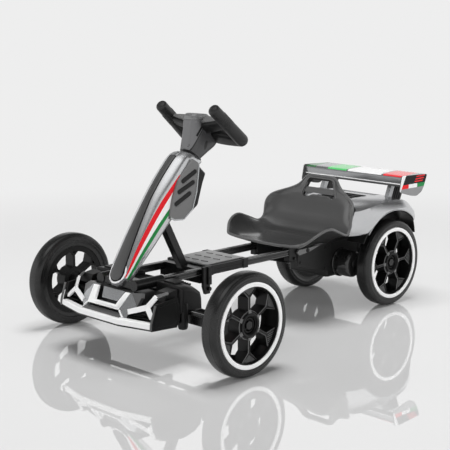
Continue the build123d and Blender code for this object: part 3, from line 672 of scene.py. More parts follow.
def bar(moulding, path, widths, thickness, normal, paint=0):
    """A flat bar along a path, facing along the normal, mitred where it turns."""
    path = [moulding.at(*point) for point in path]
    normal = Vector(normal).normalized()
    rings = []
    for i, point in enumerate(path):
        before = (point - path[i - 1]).normalized() if i else None
        after = (path[i + 1] - point).normalized() if i + 1 < len(path) else None
        ahead = ((before or after) + (after or before)).normalized()
        side = ahead.cross(normal).normalized()
        stretch = 1 / max(0.5, ahead.dot(after or before))
        half = side * widths[i] / 2 * stretch * mm
        deep = normal * thickness * mm
        inner = half * 0.8
        rings.append([point - half, point + half, point + inner - deep, point - inner - deep])
    moulding.skin(rings, paint=paint)


tray = Moulding(from_front)
side_plate = [(-57, 157), (-120, 151), (-134, 112), (-134, 94), (-60, 90), (-50, 112)]
side_inset = [(-64, 148), (-114, 144), (-126, 112), (-124, 101), (-66, 98), (-60, 114)]
for side in (-1, 1):
    tray.prism("x", side_plate, (side * 150, side * 156))
    tray.prism("x", side_inset, (side * 155, side * 157.2))
floor_line = [(154, -44), (155, -132), (68, -154), (-68, -154), (-155, -132), (-154, -44)]
tray.prism("z", floor_line, (94, 98.5))
block_levels = [(98, 90, -128, 106, -60), (122, 88, -122, 106, -60), (156, 72, -96, 104, -44)]
tray.rows([[(-a, b, z), (a, b, z), (c, d, z), (-c, d, z)] for z, a, b, c, d in block_levels])
shelf_line = [(-76, -134), (76, -134), (118, -122), (118, -112), (-118, -112), (-118, -122)]
for z in (112.5, 118):
    tray.prism("z", shelf_line, (z, z + 1.8))
for side in (-1, 1):
    deep = [(side * 104, -110), (side * 150, -96), (side * 150, -46), (side * 104, -46)]
    tray.prism("z", deep, (98, 140))
    tray.prism("x", [(-78, 168), (-50, 172), (-50, 156), (-90, 150)], (side * 112, side * 147))
    for k in range(3):
        x, y, z = side * 128, -128 + k * 2.5, 105 + k * 9
        tray.box((x - 20, y, z), (x + 20, -100, z + 2))
apron = [
    [(-52, -116, 128), (52, -116, 128), (60, -104, 120), (-60, -104, 120)],
    [(-56, -98, 161), (56, -98, 161), (62, -86, 156), (-62, -86, 156)],
]
ledge = [
    [(-66, -152, 111), (66, -152, 111), (60, -138, 119), (-60, -138, 119)],
    [(-66, -146, 106), (66, -146, 106), (60, -134, 114), (-60, -134, 114)],
]
tray.rows(apron)
tray.rows(ledge, paint=1)
tray.make("bumper_tray", [plain_black, dark_satin], "front_frame", "black_plastic",
          ["bumper_body"], bevel=1.2)

facets = Moulding(from_front)
middle_panel = [(-28, -121, 137), (28, -121, 137), (37, -107, 159), (-37, -107, 159)]
panel(facets, middle_panel, 3.0)
lip_facet = [
    (64, -114, 160.5), (68, -113, 161), (92, -121, 135.5), (79, -134, 125), (77, -137, 110),
    (61, -142, 110), (54, -141, 126),
]
side_facet = [
    [(68, -113, 161), (88, -104, 163), (98, -112, 155), (93, -121, 136)],
    [(68, -100, 159), (88, -92, 160), (96, -100, 152), (90, -108, 134)],
]
for side in (-1, 1):
    rings = [[(side * (x - back), y + 2 * back, z) for x, y, z in lip_facet] for back in (0, 6)]
    facets.rows(rings)
    rings = [[(side * x, y, z) for x, y, z in ring] for ring in side_facet]
    facets.rows(rings, paint=1)
facets.make("bumper_facets", [silver, dark_satin], "front_frame", "grey_gloss", bevel=0.8)

trim = Moulding(from_front)
lip_outline = both_sides([(66, -146), (150, -127), (156, -137.5), (68, -159)])
rings = []
for slim, back, z in ((1, 3, 98), (1, 0, 100.5), (1, 1, 110.5), (0.995, 3, 112)):
    rings.append([(x * slim, y + back, z) for x, y in lip_outline])
trim.rows(rings)
v_outline = [
    (63.5, -115, 160.5), (53, -141.3, 126.4), (-53, -141.3, 126.4), (-63.5, -115, 160.5),
    (-47, -115, 160.5), (-36, -135.4, 133.6), (36, -135.4, 133.6), (47, -115, 160.5),
]
trim.rows([[(x, y + 7 * k, z - 1.5 * k) for x, y, z in v_outline] for k in (1, 0)])
v_foot = [(53, -141.3, 126.4), (57, -143, 126.4), (70, -145, 112), (66, -145, 112)]
for side in (-1, 1):
    trim.rows([[(side * x, y + back, z) for x, y, z in v_foot] for back in (4, 0)])
for side in (-1, 1):
    joint = (side * 127, -121, 141)
    outward = (side * 0.45, -0.85, 0.3)
    bar(trim, [(side * 79, -136, 125), joint], [12, 13], 6.0, outward)
    bar(trim, [(side * 148, -127, 121), joint], [11, 13], 6.0, outward)
    bar(trim, [joint, (side * 138, -103, 164)], [13, 12], 6.0, outward)
    top = [(side * 137, -103, 163), (side * 149, -78, 170)]
    bar(trim, top, [12, 8], 5.0, (side * 0.5, -0.2, 0.85), paint=1)
    # The rod along each side plate's front corner is a lighter grey: painted highlight on that
    # edge.
    corner_path = ((-138, 98.5), (-137, 112), (-124, 150))
    trim.rod([(side * 157.5, y, z) for y, z in corner_path], 2.6, 12, paint=1)
trim.make("bumper_frames", [white_gloss, dark_satin, plain_black], "front_frame", "white_trim",
          ["bumper_trim"], bevel=1.0)


# Deck: a grooved moulded sleeve clipped round the rails with a collar at each end, and a light
# plate with raised grip marks for the feet.
deck_grey = moulded("deck_plastic", grey(0.33), 0.45, grain=0.3)
sleeve = Moulding(from_front)
half_section = [
    (70, 163), (70.6, 166), (69.2, 168.5), (69.2, 171.5), (70.6, 173.5), (69.2, 175.5),
    (69.2, 178.5), (70.6, 181), (70, 183.8), (50, 184),
]
underside = [(-48, 162.6), (-46, 166), (46, 166), (48, 162.6)]
sleeve.prism("y", both_sides(half_section) + underside, (119, 251))
collar = [(71.6, 162), (71.6, 185), (-71.6, 185), (-71.6, 162)]
for y in (118, 235):
    sleeve.prism("y", collar, (y, y + 17))
sleeve.make("deck_sleeve_grip", [plain_black], "front_frame", "black_plastic", ["deck_sleeve"],
            bevel=0.9)

plate = Moulding(from_front)
plate_line = [(54, 124), (57, 128), (57, 243), (54, 247)]
plate.prism("z", both_sides(plate_line), (184.4, 186.4))
# The grip marks are a darker grey than the plate: painted shade standing for the shading of their
# raised sides.
grip_mark = [(-10, -3.4), (-7, -4.6), (11, 0.4), (9, 2.2)]
for row in range(3):
    for column in range(3):
        x, y = -36 + column * 32 + row * 4, 148 + row * 36
        plate.prism("z", [(x + a, y + b) for a, b in grip_mark], (186, 187.8), paint=1)
plate.make("foot_plate_tread", [deck_grey, dark_satin], "front_frame", "deck_grey", ["foot_plate"],
           bevel=0.5)


# Pedal bracket: a pressed bracket hung outside the left rail, with a block and a pin on its face.
# Two screws hold it to the rail.
bracket = Moulding(from_front)
hanger = [(95, 187), (117, 187), (117, 122), (101, 122), (95, 140)]
bracket.prism("x", hanger, (71, 78.5))
bracket.prism("x", [(107, 186), (118, 186), (118, 144), (107, 144)], (78.5, 83))
bracket.rod([(78, 112, 134), (83.5, 112, 134)], 5.0, 24)
bracket.rod([(78, 112, 160), (84, 112, 160)], 3.0, 16)
bracket.make("pedal_bracket_hanger", [plain_black], "front_frame", "black_plastic",
             ["pedal_bracket"], bevel=0.8)


# Column cover: two silver shells that clip together over the steering column, with a dark panel
# let into the front and three stripes printed down each flank.
seam = from_front(0, 129, 437)
down_column = Vector((0, -cos(radians(47)), -sin(radians(47))))
behind_column = Vector((0, sin(radians(47)), -cos(radians(47))))
cover_length = 350.0


def on_column(x, below, behind):
    """A point by its distances across, down and behind the steering column's seam."""
    return seam + Vector((x * mm, 0, 0)) + down_column * below * mm + behind_column * behind * mm


def between(stations, place):
    """The values at a place along a smooth line through stations, which start with their places."""
    last = len(stations) - 1
    for i in range(last):
        if place <= stations[i + 1][0]:
            break
    a, b, c, d = (stations[min(max(n, 0), last)] for n in (i - 1, i, i + 1, i + 2))
    span = c[0] - b[0]
    t = (place - b[0]) / span
    values = []
    for k in range(1, len(b)):
        into = (c[k] - a[k]) / (c[0] - a[0]) * span
        out_of = (d[k] - b[k]) / (d[0] - b[0]) * span
        values.append(
            (2 * t**3 - 3 * t**2 + 1) * b[k] + (t**3 - 2 * t**2 + t) * into
            + (3 * t**2 - 2 * t**3) * c[k] + (t**3 - t**2) * out_of
        )
    return values


# distance below the seam, reach ahead and behind, half widths in front and behind
cover_stations = [
    (0, 15, 21, 20, 24), (5, 25, 19, 24, 26), (12, 34, 16.5, 27.5, 28.5),
    (22, 41.5, 17.5, 30.5, 31), (36, 45, 21, 32.5, 33.5), (62, 46, 30, 33.5, 36.5),
    (105, 45, 32, 33.5, 37), (157, 40, 25, 31, 39), (236, 26, 22, 31, 40), (283, 15, 22, 31, 37),
    (324, 5, 23.5, 29.5, 33.5), (344, -1, 24, 26, 28.5), (355, -5, 22.5, 19.5, 21),
    (360, -9, 19, 11, 12),
]
panel_top, panel_end = 33.0, 350.5
panel_narrow, panel_spread, spread_start = 8.4, 21.5, 0.45


def panel_half(below):
    """Half the width of the dark panel at a distance below the seam."""
    return panel_narrow + max(0.0, below / cover_length - spread_start) * panel_spread


cover = Moulding(on_column)
steps = 60
rings = []
for k in range(steps + 1):
    below = cover_stations[-1][0] * (k / steps) ** 0.9
    ahead, behind, front, back = between(cover_stations, below)
    deep = ahead + behind
    mid = min(panel_half(below), front * 0.66)
    half = []
    rest = front - mid - 2.4
    for x, dip in (
        (0, 0.6), (mid * 0.5, 0.6), (mid - 0.8, 0.7), (mid + 0.2, 1.6), (mid + 1.6, 1.5),
        (mid + 2.4, 0.2),
        *((mid + 2.4 + rest * q, 0.0) for q in (0.12, 0.3, 0.5, 0.68, 0.82, 0.92, 0.98)),
    ):
        round_off = (1 - min(1.0, x / (front + 0.2)) ** 2.1) ** 0.476
        half.append((x, -ahead + dip + 0.28 * deep * (1 - round_off)))
    half += [
        (front + 0.25, -ahead + 0.34 * deep), (front + 0.45 * (back - front), -ahead + 0.48 * deep),
        (front + 0.85 * (back - front), -ahead + 0.70 * deep), (back, behind - 0.17 * deep),
        (back - 0.3, behind - 0.14 * deep), (back * 0.96, behind - 0.05 * deep),
        (back * 0.88, behind), (back * 0.4, behind), (0, behind),
    ]
    loop = half + [(-x, v) for x, v in reversed(half[1:-1])]
    rings.append([(x, below, v) for x, v in loop])
cover.rows(rings)

flank = moulded("cover_silver", grey(0.60, 0.02), 0.24, grain=0.005, metallic=0.85, mottle=0.02,
                gleam=0.15)
across, along, up = flank.place(seam)
side_way = across.size()
below = along * down_column.y + up * down_column.z
behind = along * behind_column.y + up * behind_column.z
reach = below * 0.01


def curve_at(first, second, third):
    """How far behind the column's line a printed edge lies, as it runs down the cover."""
    return first + reach * second + reach * reach * third


red_front = curve_at(-17.16, -14.93, 6.28)
red_back = curve_at(-11.56, -6.38, 3.47)
green_front = curve_at(25.41, -26.43, 6.47)
green_back = curve_at(29.53, -21.71, 5.12)
stripes_start, stripes_end = 70, 337.5
band_mask = below.within(stripes_start, stripes_end) * (side_way > 24)
red = band_mask * behind.within(red_front, red_back)
white = band_mask * behind.within(red_back, green_front)
green = band_mask * behind.within(green_front, green_back)
panel_line, foot_line, lip_highlight_reach = 3.0, 2.8, 6.4
spread = (below * (1 / cover_length) - spread_start).at_least(0.0)
panel_wide = panel_narrow + spread * panel_spread
foot_radius = panel_half(panel_end)
foot_centre = panel_end - foot_radius
from_foot = ((below - foot_centre) * (below - foot_centre) + side_way * side_way).root()
in_front = behind < 14
straight = below.within(panel_top - 2, foot_centre) * (side_way < panel_wide + panel_line)
outline = in_front * straight.at_least(from_foot < foot_radius + foot_line)
# A white line round the panel's foot: painted highlight on the lip there.
painted_lip_highlight = in_front * (from_foot < foot_radius + lip_highlight_reach) * (below > foot_centre - 25)
# The nose's end below the lip is a darker grey: painted shade.
nose_painted_shade = (below > foot_centre + 2) * (from_foot > foot_radius + lip_highlight_reach) * (side_way < 27)
colour = flank.lay_over(
    flank.clouds((0.59, 0.595, 0.605), (0.61, 0.615, 0.625)),
    (red, (0.82, 0.012, 0.022)),
    (white, (0.93, 0.93, 0.93)),
    (green, (0.018, 0.235, 0.055)),
    (nose_painted_shade, (0.16, 0.16, 0.165)),
    (painted_lip_highlight, (0.90, 0.90, 0.91)),
    (outline, (0.008, 0.008, 0.009)),
)
ink_and_highlight = red.at_least(white).at_least(green).at_least(outline).at_least(painted_lip_highlight)
flank.paint({"Base Color": colour, "Metallic": 0.85 - ink_and_highlight * 0.85, "Roughness": 0.30})
cover.make("column_shells", [flank], "front_frame", "grey_gloss", ["column_cover"], sharp=40)

panel_grey = moulded("panel_grey", grey(0.075), 0.30, grain=0.05, metallic=0.2, mottle=0.03)
inlay = Moulding(on_column)
half_row = [(-1.0, 0.6), (-0.985, -0.3), (-0.9, -0.75), (-0.4, -0.95)]
panel_row = half_row + [(0.0, -1.0)] + [(-x, v) for x, v in reversed(half_row)]
steps = 56
rings = []
for k in range(steps + 1):
    below = panel_top + (panel_end - panel_top) * (1 - (1 - k / steps) ** 1.5)
    ahead = between(cover_stations, below)[0]
    half = panel_half(below)
    if below > foot_centre:
        fraction = (below - foot_centre) / foot_radius
        half = max(0.4, foot_radius * (max(0.0, 1 - fraction**2)) ** 0.5)
    if below < panel_top + 3:
        half -= (panel_top + 3 - below) * 0.5
    rings.append([(x * half, below, -ahead + 0.6 + v) for x, v in panel_row])
inlay.rows(rings)
inlay.make("column_panel", [panel_grey], "front_frame", "grey_satin", ["column_stripe"], sharp=40)


# Side pods: a satin grey vent cover on each side of the column, with three dark louvre slots,
# screwed over a black backing; a black cover closes the column behind them.
pod_satin = moulded("pod_satin", grey(0.17), 0.36, grain=0.06, metallic=0.2, mottle=0.03)
pod_outline = [
    (-1.0, 16.0), (-19.5, 19.0), (-22.0, 52.0), (-22.5, 85.0), (-11.0, 122.0), (6.7, 160.4),
    (11.2, 164.6), (23.2, 162.0), (43.7, 145.0), (49.6, 110.5), (32.8, 69.1), (5.8, 20.2),
]
slots = [((-9.8, 77.0), (3.5, 38.5)), ((-3.4, 103.0), (14.2, 61.5)), ((6.6, 130.0), (21.6, 88.0))]
slot_half = 5.3
pod_reach, pod_lean = 37.5, 0.15
pod_thick, pod_edge = 8.0, 1.6


def slot_loop(start, end):
    """A round-ended slot between two points."""
    turn = atan2(end[1] - start[1], end[0] - start[0])
    loop = []
    for (x, y), first in ((start, turn + pi / 2), (end, turn - pi / 2)):
        for k in range(7):
            angle = first + pi * k / 6
            loop.append((x + slot_half * cos(angle), y + slot_half * sin(angle)))
    return loop


def rounded(outline, radius, steps=4):
    """The outline with its corners rounded."""
    loop = []
    count = len(outline)
    for i, corner in enumerate(outline):
        corner = Vector(corner)
        before = Vector(outline[i - 1]) - corner
        after = Vector(outline[(i + 1) % count]) - corner
        reach = min(radius, before.length / 2.2, after.length / 2.2)
        start = corner + before.normalized() * reach
        end = corner + after.normalized() * reach
        for k in range(steps + 1):
            t = k / steps
            loop.append(tuple(start * (1 - t) ** 2 + corner * 2 * t * (1 - t) + end * t**2))
    return loop


def pod_place(behind, below, out):
    """A point on the left pod, which leans out a little towards its back."""
    return on_column(pod_reach + pod_lean * behind + out, below, behind)


pods = Moulding(pod_place)
holes = [slot_loop(start, end) for start, end in slots]
pods.plate_with_holes(rounded(pod_outline, 3.0), holes, pod_thick, pod_edge)
backing = rounded([(v * 0.97 + 0.3, u * 0.97 + 3.6) for v, u in pod_outline], 3.0)
pods.prism("z", backing, (-12, 2.2), paint=1)
for line in (
    ((1.6, 20.0), (33.5, 73.0), (48.6, 112.0), (43.0, 144.0)),
    ((41.5, 146.5), (22.5, 162.4), (11.8, 164.4)),
):
    path = [(v + 0.8, u, 4.9) for v, u in line]
    bar(pods, path, [3.6] * len(line), 3.0, (1, 0.15, 0), paint=2)
pods.mirrored()
pods.make("column_vent_pods", [pod_satin, plain_black, silver], "front_frame", "grey_satin",
          ["side_pods"], sharp=35)

spine = Moulding(on_column)
spine_line = [(6, 17), (38.5, 17), (46.5, 40), (69, 88), (63, 117.5), (46, 144), (16, 152)]
rings = []
for x, inset in ((-38, 5), (-35, 1.5), (-30, 0), (30, 0), (35, 1.5), (38, 5)):
    rings.append(
        [(x, u + (80 - u) * inset / 70, v - inset * v / 60) for v, u in rounded(spine_line, 2.5)]
    )
spine.rows(rings)
for k in range(4):
    low = 60 + k * 12
    rib = [(low, 50), (low + 4, 51), (low + 4, 62), (low, 61)]
    spine.prism("x", rib, (-24, 24))
spine.make("column_back_shell", [plain_black], "front_frame", "black_plastic",
           ["column_back_cover"], bevel=1.2)


# Steering head: a silver neck in two shells with a cap, on the column's steel shaft, and a black
# yoke through it that carries two thick grips.
neck_silver = moulded("neck_silver", grey(0.24, 0.01), 0.32, grain=0.02, metallic=0.5, coat=0.1,
                      mottle=0.02)
neck_dark = moulded("neck_dark", grey(0.07), 0.34, grain=0.05, metallic=0.3, coat=0.1, mottle=0.05)
grip_rubber = moulded("grip_rubber", grey(0.014), 0.36, grain=0.35, mottle=0.2)

# front edge and back edge of each level, each along and up from the seam, and its fullness
neck_levels = [
    ((-18.0, 18.0), (11, -9.8), 0.90), ((-18.3, 18.8), (13, -8.4), 0.985),
    ((-16.6, 34), (40, 6.8), 1.0), ((-13.8, 50), (67, 22), 1.0), ((-12.0, 62), (76.0, 42), 1.0),
    ((-10.4, 75), (66, 66), 1.0), ((-8.6, 86), (50, 84.5), 0.99),
]
cap_levels = [
    ((-8.8, 86.6), (49.5, 85.4), 0.985), ((-7.6, 91.5), (46.5, 90.4), 0.98),
    ((-5.2, 97.0), (43.5, 94.8), 0.93), ((-1.0, 100.0), (38, 97.4), 0.80),
    ((4.0, 100.8), (30, 98.6), 0.5),
]
neck_plan = [
    (-1.0, 0.0), (-1.0, 0.40), (-0.985, 0.54), (-0.93, 0.66), (-0.80, 0.80), (-0.62, 0.92),
    (-0.42, 0.985), (-0.36, 1.0), (-0.32, 0.985), (-0.28, 1.0), (0.0, 1.0), (0.35, 1.0),
    (0.66, 0.97), (0.82, 0.90), (0.94, 0.76), (0.99, 0.62), (1.0, 0.48),
]
neck_half = 24.0


def neck_skin(moulding, levels, steps):
    """The neck's plan carried smoothly up its levels."""
    flat = [(i, *front, *back, full) for i, (front, back, full) in enumerate(levels)]
    rings = []
    for k in range(steps + 1):
        front_along, front_up, back_along, back_up, full = between(flat, k * flat[-1][0] / steps)
        ring = []
        for place, wide in neck_plan + [(p, -w) for p, w in reversed(neck_plan[1:])]:
            share = (place + 1) / 2
            along = front_along + (back_along - front_along) * share
            up = front_up + (back_up - front_up) * share
            ring.append(seam + Vector((wide * neck_half * full * mm, along * mm, up * mm)))
        rings.append(ring)
    moulding.skin(rings)


neck = Moulding()
neck_skin(neck, neck_levels, 24)
neck.turned([(25.5, 0.3), (26.8, 1.0), (26.8, 3.2), (25.5, 4.0)], seam, -down_column, 64)
across, along, up = neck_dark.place(seam)
side_way = across.size()
seam_line = along - (-17.5 + (up - 15.0) * 0.74)
front_part = (0 - seam_line).ramp(-0.6, 0.6)
groove = 1 - seam_line.size().ramp(0.9, 2.2)
on_flank = side_way > 20
slot_along = (along - 9.2) * 0.57 + (up - 60.5) * 0.82
slot_across = (along - 9.2) * 0.82 - (up - 60.5) * 0.57
slot = (slot_along.size() < 15) * (slot_across.size() < 2.6) * on_flank
port_along = (along - 27.5) * 0.36 + (up - 25.5) * 0.93
port_across = (along - 27.5) * 0.93 - (up - 25.5) * 0.36
port = (port_along * port_along * 0.008 + port_across * port_across * 0.055) < 1
dark = groove.at_least(slot).at_least(port * on_flank)
dots = 0
for dot_across, dot_up in ((22.0, 28.0), (13.5, 28.5), (11.0, 25.0)):
    from_dot = (side_way - dot_across) * (side_way - dot_across) + (up - dot_up) * (up - dot_up)
    dots = (from_dot < 1.6).at_least(dots)
colour = neck_dark.over(front_part, (0.06, 0.06, 0.062), (0.19, 0.19, 0.195))
colour = neck_dark.over(dark.at_least(dots * front_part), colour, grey(0.006))
neck_dark.paint({"Base Color": colour, "Metallic": front_part * 0.5 + 0.1})
neck.make("steering_neck_shells", [neck_dark], "steering_head", "grey_gloss", ["steering_neck"],
          sharp=28)

cap = Moulding()
neck_skin(cap, cap_levels, 12)
cap.make("steering_neck_cap", [neck_silver], "steering_head", "grey_gloss", ["steering_cap"],
         sharp=28)

steel = moulded("bright_steel", grey(0.42), 0.28, grain=0.1, metallic=1.0)
keep_shape(steel, 0.4, "steering_shaft")

# across, then front, back, low and high edge of each arm's sections
arm_sections = [
    (16, -42, -8, -20, 9), (30, -43, -9, -19, 9), (48, -44, -12, -15, 7), (66, -46, -16, -13, 5),
    (84, -48, -20, -11, 3), (94, -48, -24, -9, 2),
]
strip_sections = [
    (20, -45.0, -36, -12, 10.5), (34, -46.0, -36, -10, 10.2), (50, -47, -37, -7, 8.4),
    (66, -48.5, -39, -5, 6.4), (82, -50, -41, -3, 4.0),
]
heel_sections = [
    (16, -4, 30, -15, 7), (34, -4, 34, -15, 7), (56, -2, 37, -14, 6), (76, 4, 40, -12, 5),
    (94, 10, 42, -10, 4),
]


yoke_rise, grip_reach = 79.0, 93.0


def on_yoke(x, behind, above):
    """A point across, behind and above the yoke's middle plane."""
    return on_column(x, -yoke_rise - above, behind)


def arm_line(front, back, low, high):
    return [
        (front, low + 3), (front + 1, high - 1), (front + 6, high), (back - 3, high),
        (back, high - 4), (back, low + 4), (back - 5, low), (front + 6, low),
    ]


def strip_line(front, back, low, high):
    return [
        (front + 1, low), (front, low + 3), (front, high - 3), (front + 3, high), (back - 1, high),
        (back, high - 1.5), (back, low),
    ]


def heel_line(front, back, low, high):
    return [(front, low + 4), (front, high), (back, high), (back, low), (front + 8, low)]


turns = [pi / 12 * k for k in range(1, 7)]
grip = [(0.4, -91.0)] + [(7.0 + 7.0 * sin(t), -91.0 + 8.0 * (1 - cos(t))) for t in turns]
grip += [(14.2, -62), (14.4, -50), (14.0, -40), (14.6, -30), (15.0, -5), (15.2, 20), (15.2, 28)]
turns = [pi / 16 * k for k in range(1, 9)]
grip += [(max(0.4, 15.2 * cos(t)), 28.0 + 15.2 * sin(t)) for t in turns]
grip_rib = [(14.2, -1.2), (15.1, -0.6), (15.1, 0.6), (14.2, 1.2)]
yoke = Moulding(on_yoke)
for side in (-1, 1):
    for sections, line, radius, steps, paint in (
        (arm_sections, arm_line, 3.0, 2, 0),
        (strip_sections, strip_line, 2.0, 2, 1),
        (heel_sections, heel_line, 4.0, 3, 0),
    ):
        rings = []
        for x, *edges in sections:
            rings.append([(side * x, b, a) for b, a in rounded(line(*edges), radius, steps)])
        yoke.rows(rings, paint=paint)
    hold = (behind_column + Vector((side * 0.05, 0.02, 0.025))).normalized()
    middle = on_yoke(side * grip_reach, 0, 0)
    yoke.turned(grip, middle, hold, 40, paint=2)
    for k in range(7):
        place = middle + hold * (-58 + k * 5.2) * mm
        yoke.turned(grip_rib, place, hold, 40, joined=True, paint=2)
yoke.make("steering_yoke_grips", [plain_black, pod_satin, grip_rubber], "steering_head",
          "grip_rubber", ["steering_yoke"], sharp=40)


# Seat slide: black clamp blocks on the rails and a pressed side plate each side, with a stiffening
# lip along its top and a pin through its front corner.


def from_rear(x, y, z):
    """A point given in millimetres, with y measured back from the rear axle."""
    return Vector((x * mm, rear_y + y * mm, z * mm))


slide = Moulding(from_rear)
for x0, x1, z0, z1 in (
    (49.7, 67.0, 150.5, 163.8), (49.7, 67.0, 182.4, 191.5), (66.4, 67.2, 151, 191)
):
    slide.box((x0, -308, z0), (x1, -268, z1))
slide.box((44.0, -306, 158), (49.4, -270, 188))
slide.rod([(67, -288, 156), (71.5, -288, 156)], 4.2, 24)
slide.mirrored()
slide.make("clamp_blocks_moulded", [plain_black], "seat_and_drive", "black_plastic",
           ["clamp_blocks"], bevel=0.9)

sides = Moulding(from_rear)
plate_line = [(-279, 133), (-160, 103), (-150, 103), (-150, 175), (-190, 192), (-279, 192)]
sides.prism("x", plate_line, (67.2, 70.4))
fold = [(-286, 171), (-276, 163), (-236, 168), (-170, 186), (-170, 190), (-238, 178), (-280, 178)]
sides.prism("x", fold, (69.5, 75.0), paint=1)
sides.rod([(70, -246, 172), (77.0, -246, 172)], 5.5, 24)
for y, z in ((-268, 142), (-170, 112), (-170, 166)):
    sides.rod([(70, y, z), (72.5, y, z)], [4.0, 3.4], 16)
sides.mirrored()
sides.make("seat_side_brackets", [plain_black, pod_satin], "seat_and_drive", "black_plastic",
           ["seat_side_plates"], bevel=0.8)


# Seat: one deep bucket of blow-moulded grey plastic with raised thighs, a rolled rim, a shallow
# seat pad and a carrying handle through its back. It is screwed to the side plates.
seat_grey = moulded("seat_satin", grey(0.052), 0.22, grain=0.05, coat=0.4, mottle=0.05)
across, along, up = seat_grey.place((0, rear_y, 0))
# The seat is lighter high up its back and darker at the thighs' outer front ends: painted light and
# painted shade.
upper_painted_light = up.ramp(203, 236)
thigh_painted_shade = across.size().ramp(100, 140) * (0 - along).ramp(205, 240)
shade = seat_grey.lay_over(grey(0.036), (upper_painted_light, grey(0.082)), (thigh_painted_shade, grey(0.020)))
cloud = seat_grey.noise(9.0, 4.0).ramp(0.3, 0.7)
seat_grey.paint({"Base Color": seat_grey.over(cloud * 0.12, shade, grey(0.03))})
# The near-black finish below goes on the seat's downward faces: painted shade under the seat.
seat_underside_shade = moulded("seat_underside_shade", grey(0.010), 0.34, grain=0.06, mottle=0.05)
# The rolled rim and the handle's outer lip are a lighter grey than the shell: painted highlight on
# those rounded edges.
rim_highlight_grey = moulded("seat_rim", grey(0.11), 0.28, grain=0.06, coat=0.2, mottle=0.05)
# distance along the seat, then along and up of its middle, its flat half width, and half width,
# along and up of its edge
seat_stations = [
    (0, -330, 195, 66, 127, -331, 201), (14, -320, 194.5, 70, 140, -317, 213),
    (34, -300, 193, 76, 150, -303, 225), (56, -278, 191.5, 80, 157, -281, 236),
    (78, -256, 191, 84, 160, -258, 239), (104, -230, 191, 86, 158, -236, 232),
    (128, -206, 192.5, 88, 155.5, -213, 222.5), (150, -188, 200, 88, 154.5, -197, 216),
    (164, -177, 209, 90, 153, -186, 214.5), (180, -166, 222, 92, 150.5, -176, 219),
    (198, -155, 239, 94, 149, -168.5, 230), (212, -147, 250, 94, 149, -166, 246),
    (226, -139, 262, 94, 149, -162.5, 262), (242, -131, 275, 92, 146, -156.5, 274),
    (254, -125.5, 286, 88, 138.5, -147, 284.5), (264, -121.5, 294, 78, 122, -135, 292),
    (273, -119, 301, 66, 102, -125, 299), (282, -116.5, 309, 54, 82, -116, 307.5),
    (290, -114.5, 317, 46, 69, -112, 316), (300, -111.5, 327, 42, 58, -109, 328),
    (309, -109, 336, 38, 50, -107, 337), (314, -107.5, 341, 33, 36, -106, 341),
]
across_steps, along_steps = 48, 84
seat_length = seat_stations[-1][0]
half_wall, rim_radius = 2.5, 3.6
under_slope = -0.45
seat = Moulding()
rings, lines = [], []
for i in range(along_steps + 1):
    place = seat_length * i / along_steps
    y, z, flat, edge, edge_y, edge_z = between(seat_stations, place)
    y_on, z_on = between(seat_stations, min(seat_length, place + 2))[:2]
    y_back, z_back = between(seat_stations, max(0, place - 2))[:2]
    up_way = Vector((0, z_back - z_on, y_on - y_back)).normalized()
    upper, lower = [], []
    for k in range(across_steps + 1):
        t = 2 * k / across_steps - 1
        wide = abs(t) * edge
        climb = max(0.0, (wide - flat) / (edge - flat)) ** 1.8
        hollow = -2.0 * max(0.0, 1 - (wide / (flat + 4)) ** 4)
        middle = from_rear(t * edge, y + (edge_y - y) * climb, z + (edge_z - z) * climb)
        middle += up_way * hollow * mm
        square = (up_way + Vector((-t * climb, 0, 0))).normalized() * half_wall * mm
        upper.append(middle + square)
        lower.append(middle - square)
    rings.append(upper + lower[::-1])
    lines.append([(a + b) / 2 for a, b in zip(upper, lower)])
seat.skin(rings)
seat_back = Vector((0, 0.237, 0.9715))
seat_face = Vector((0, -0.9715, 0.237))


def on_back(x, w, out):
    """A point on the seat's back by its distances across, up and out of its face."""
    return from_rear(x, -117, 294) + (seat_back * w + seat_face * out) * mm


def cut(piece, *tools):
    """Cuts the solids of other mouldings out of a piece for good."""
    for tool in tools:
        mesh = bpy.data.meshes.new("tool")
        mesh.from_pydata(tool.points, [], tool.faces)
        face_out(mesh)
        holder = bpy.data.objects.new("tool", mesh)
        bpy.context.scene.collection.objects.link(holder)
        opening = piece.modifiers.new("opening", "BOOLEAN")
        opening.object = holder
        opening.solver = "EXACT"
        bpy.context.view_layer.update()
        solid = piece.evaluated_get(bpy.context.evaluated_depsgraph_get())
        done = bpy.data.meshes.new_from_object(solid)
        piece.modifiers.remove(opening)
        piece.data = done
        bpy.data.objects.remove(holder)
        bpy.data.meshes.remove(mesh)


handle_corners = [
    (-34, 37), (33, 37), (44, 33), (50, 17), (57, -1), (54, -9), (46, -10), (34, -2), (-18, -2),
    (-31, -10), (-42, -12), (-50, -8), (-50, -1), (-40, 26),
]
handle_line = rounded(handle_corners, 6.0, 5)
opening = Moulding(on_back)
opening.prism("z", handle_line, (-30, 40))
seat_piece = seat.make("seat_bucket", [seat_grey, seat_underside_shade], "seat_and_drive", "grey_satin",
                       ["seat_shell"], sharp=50)
# Faces that point down take the near-black finish: painted shade.
for face in seat_piece.data.polygons:
    if face.normal.z < under_slope:
        face.material_index = 1
cut(seat_piece, opening)
seat_piece.data.set_sharp_from_angle(angle=radians(40))

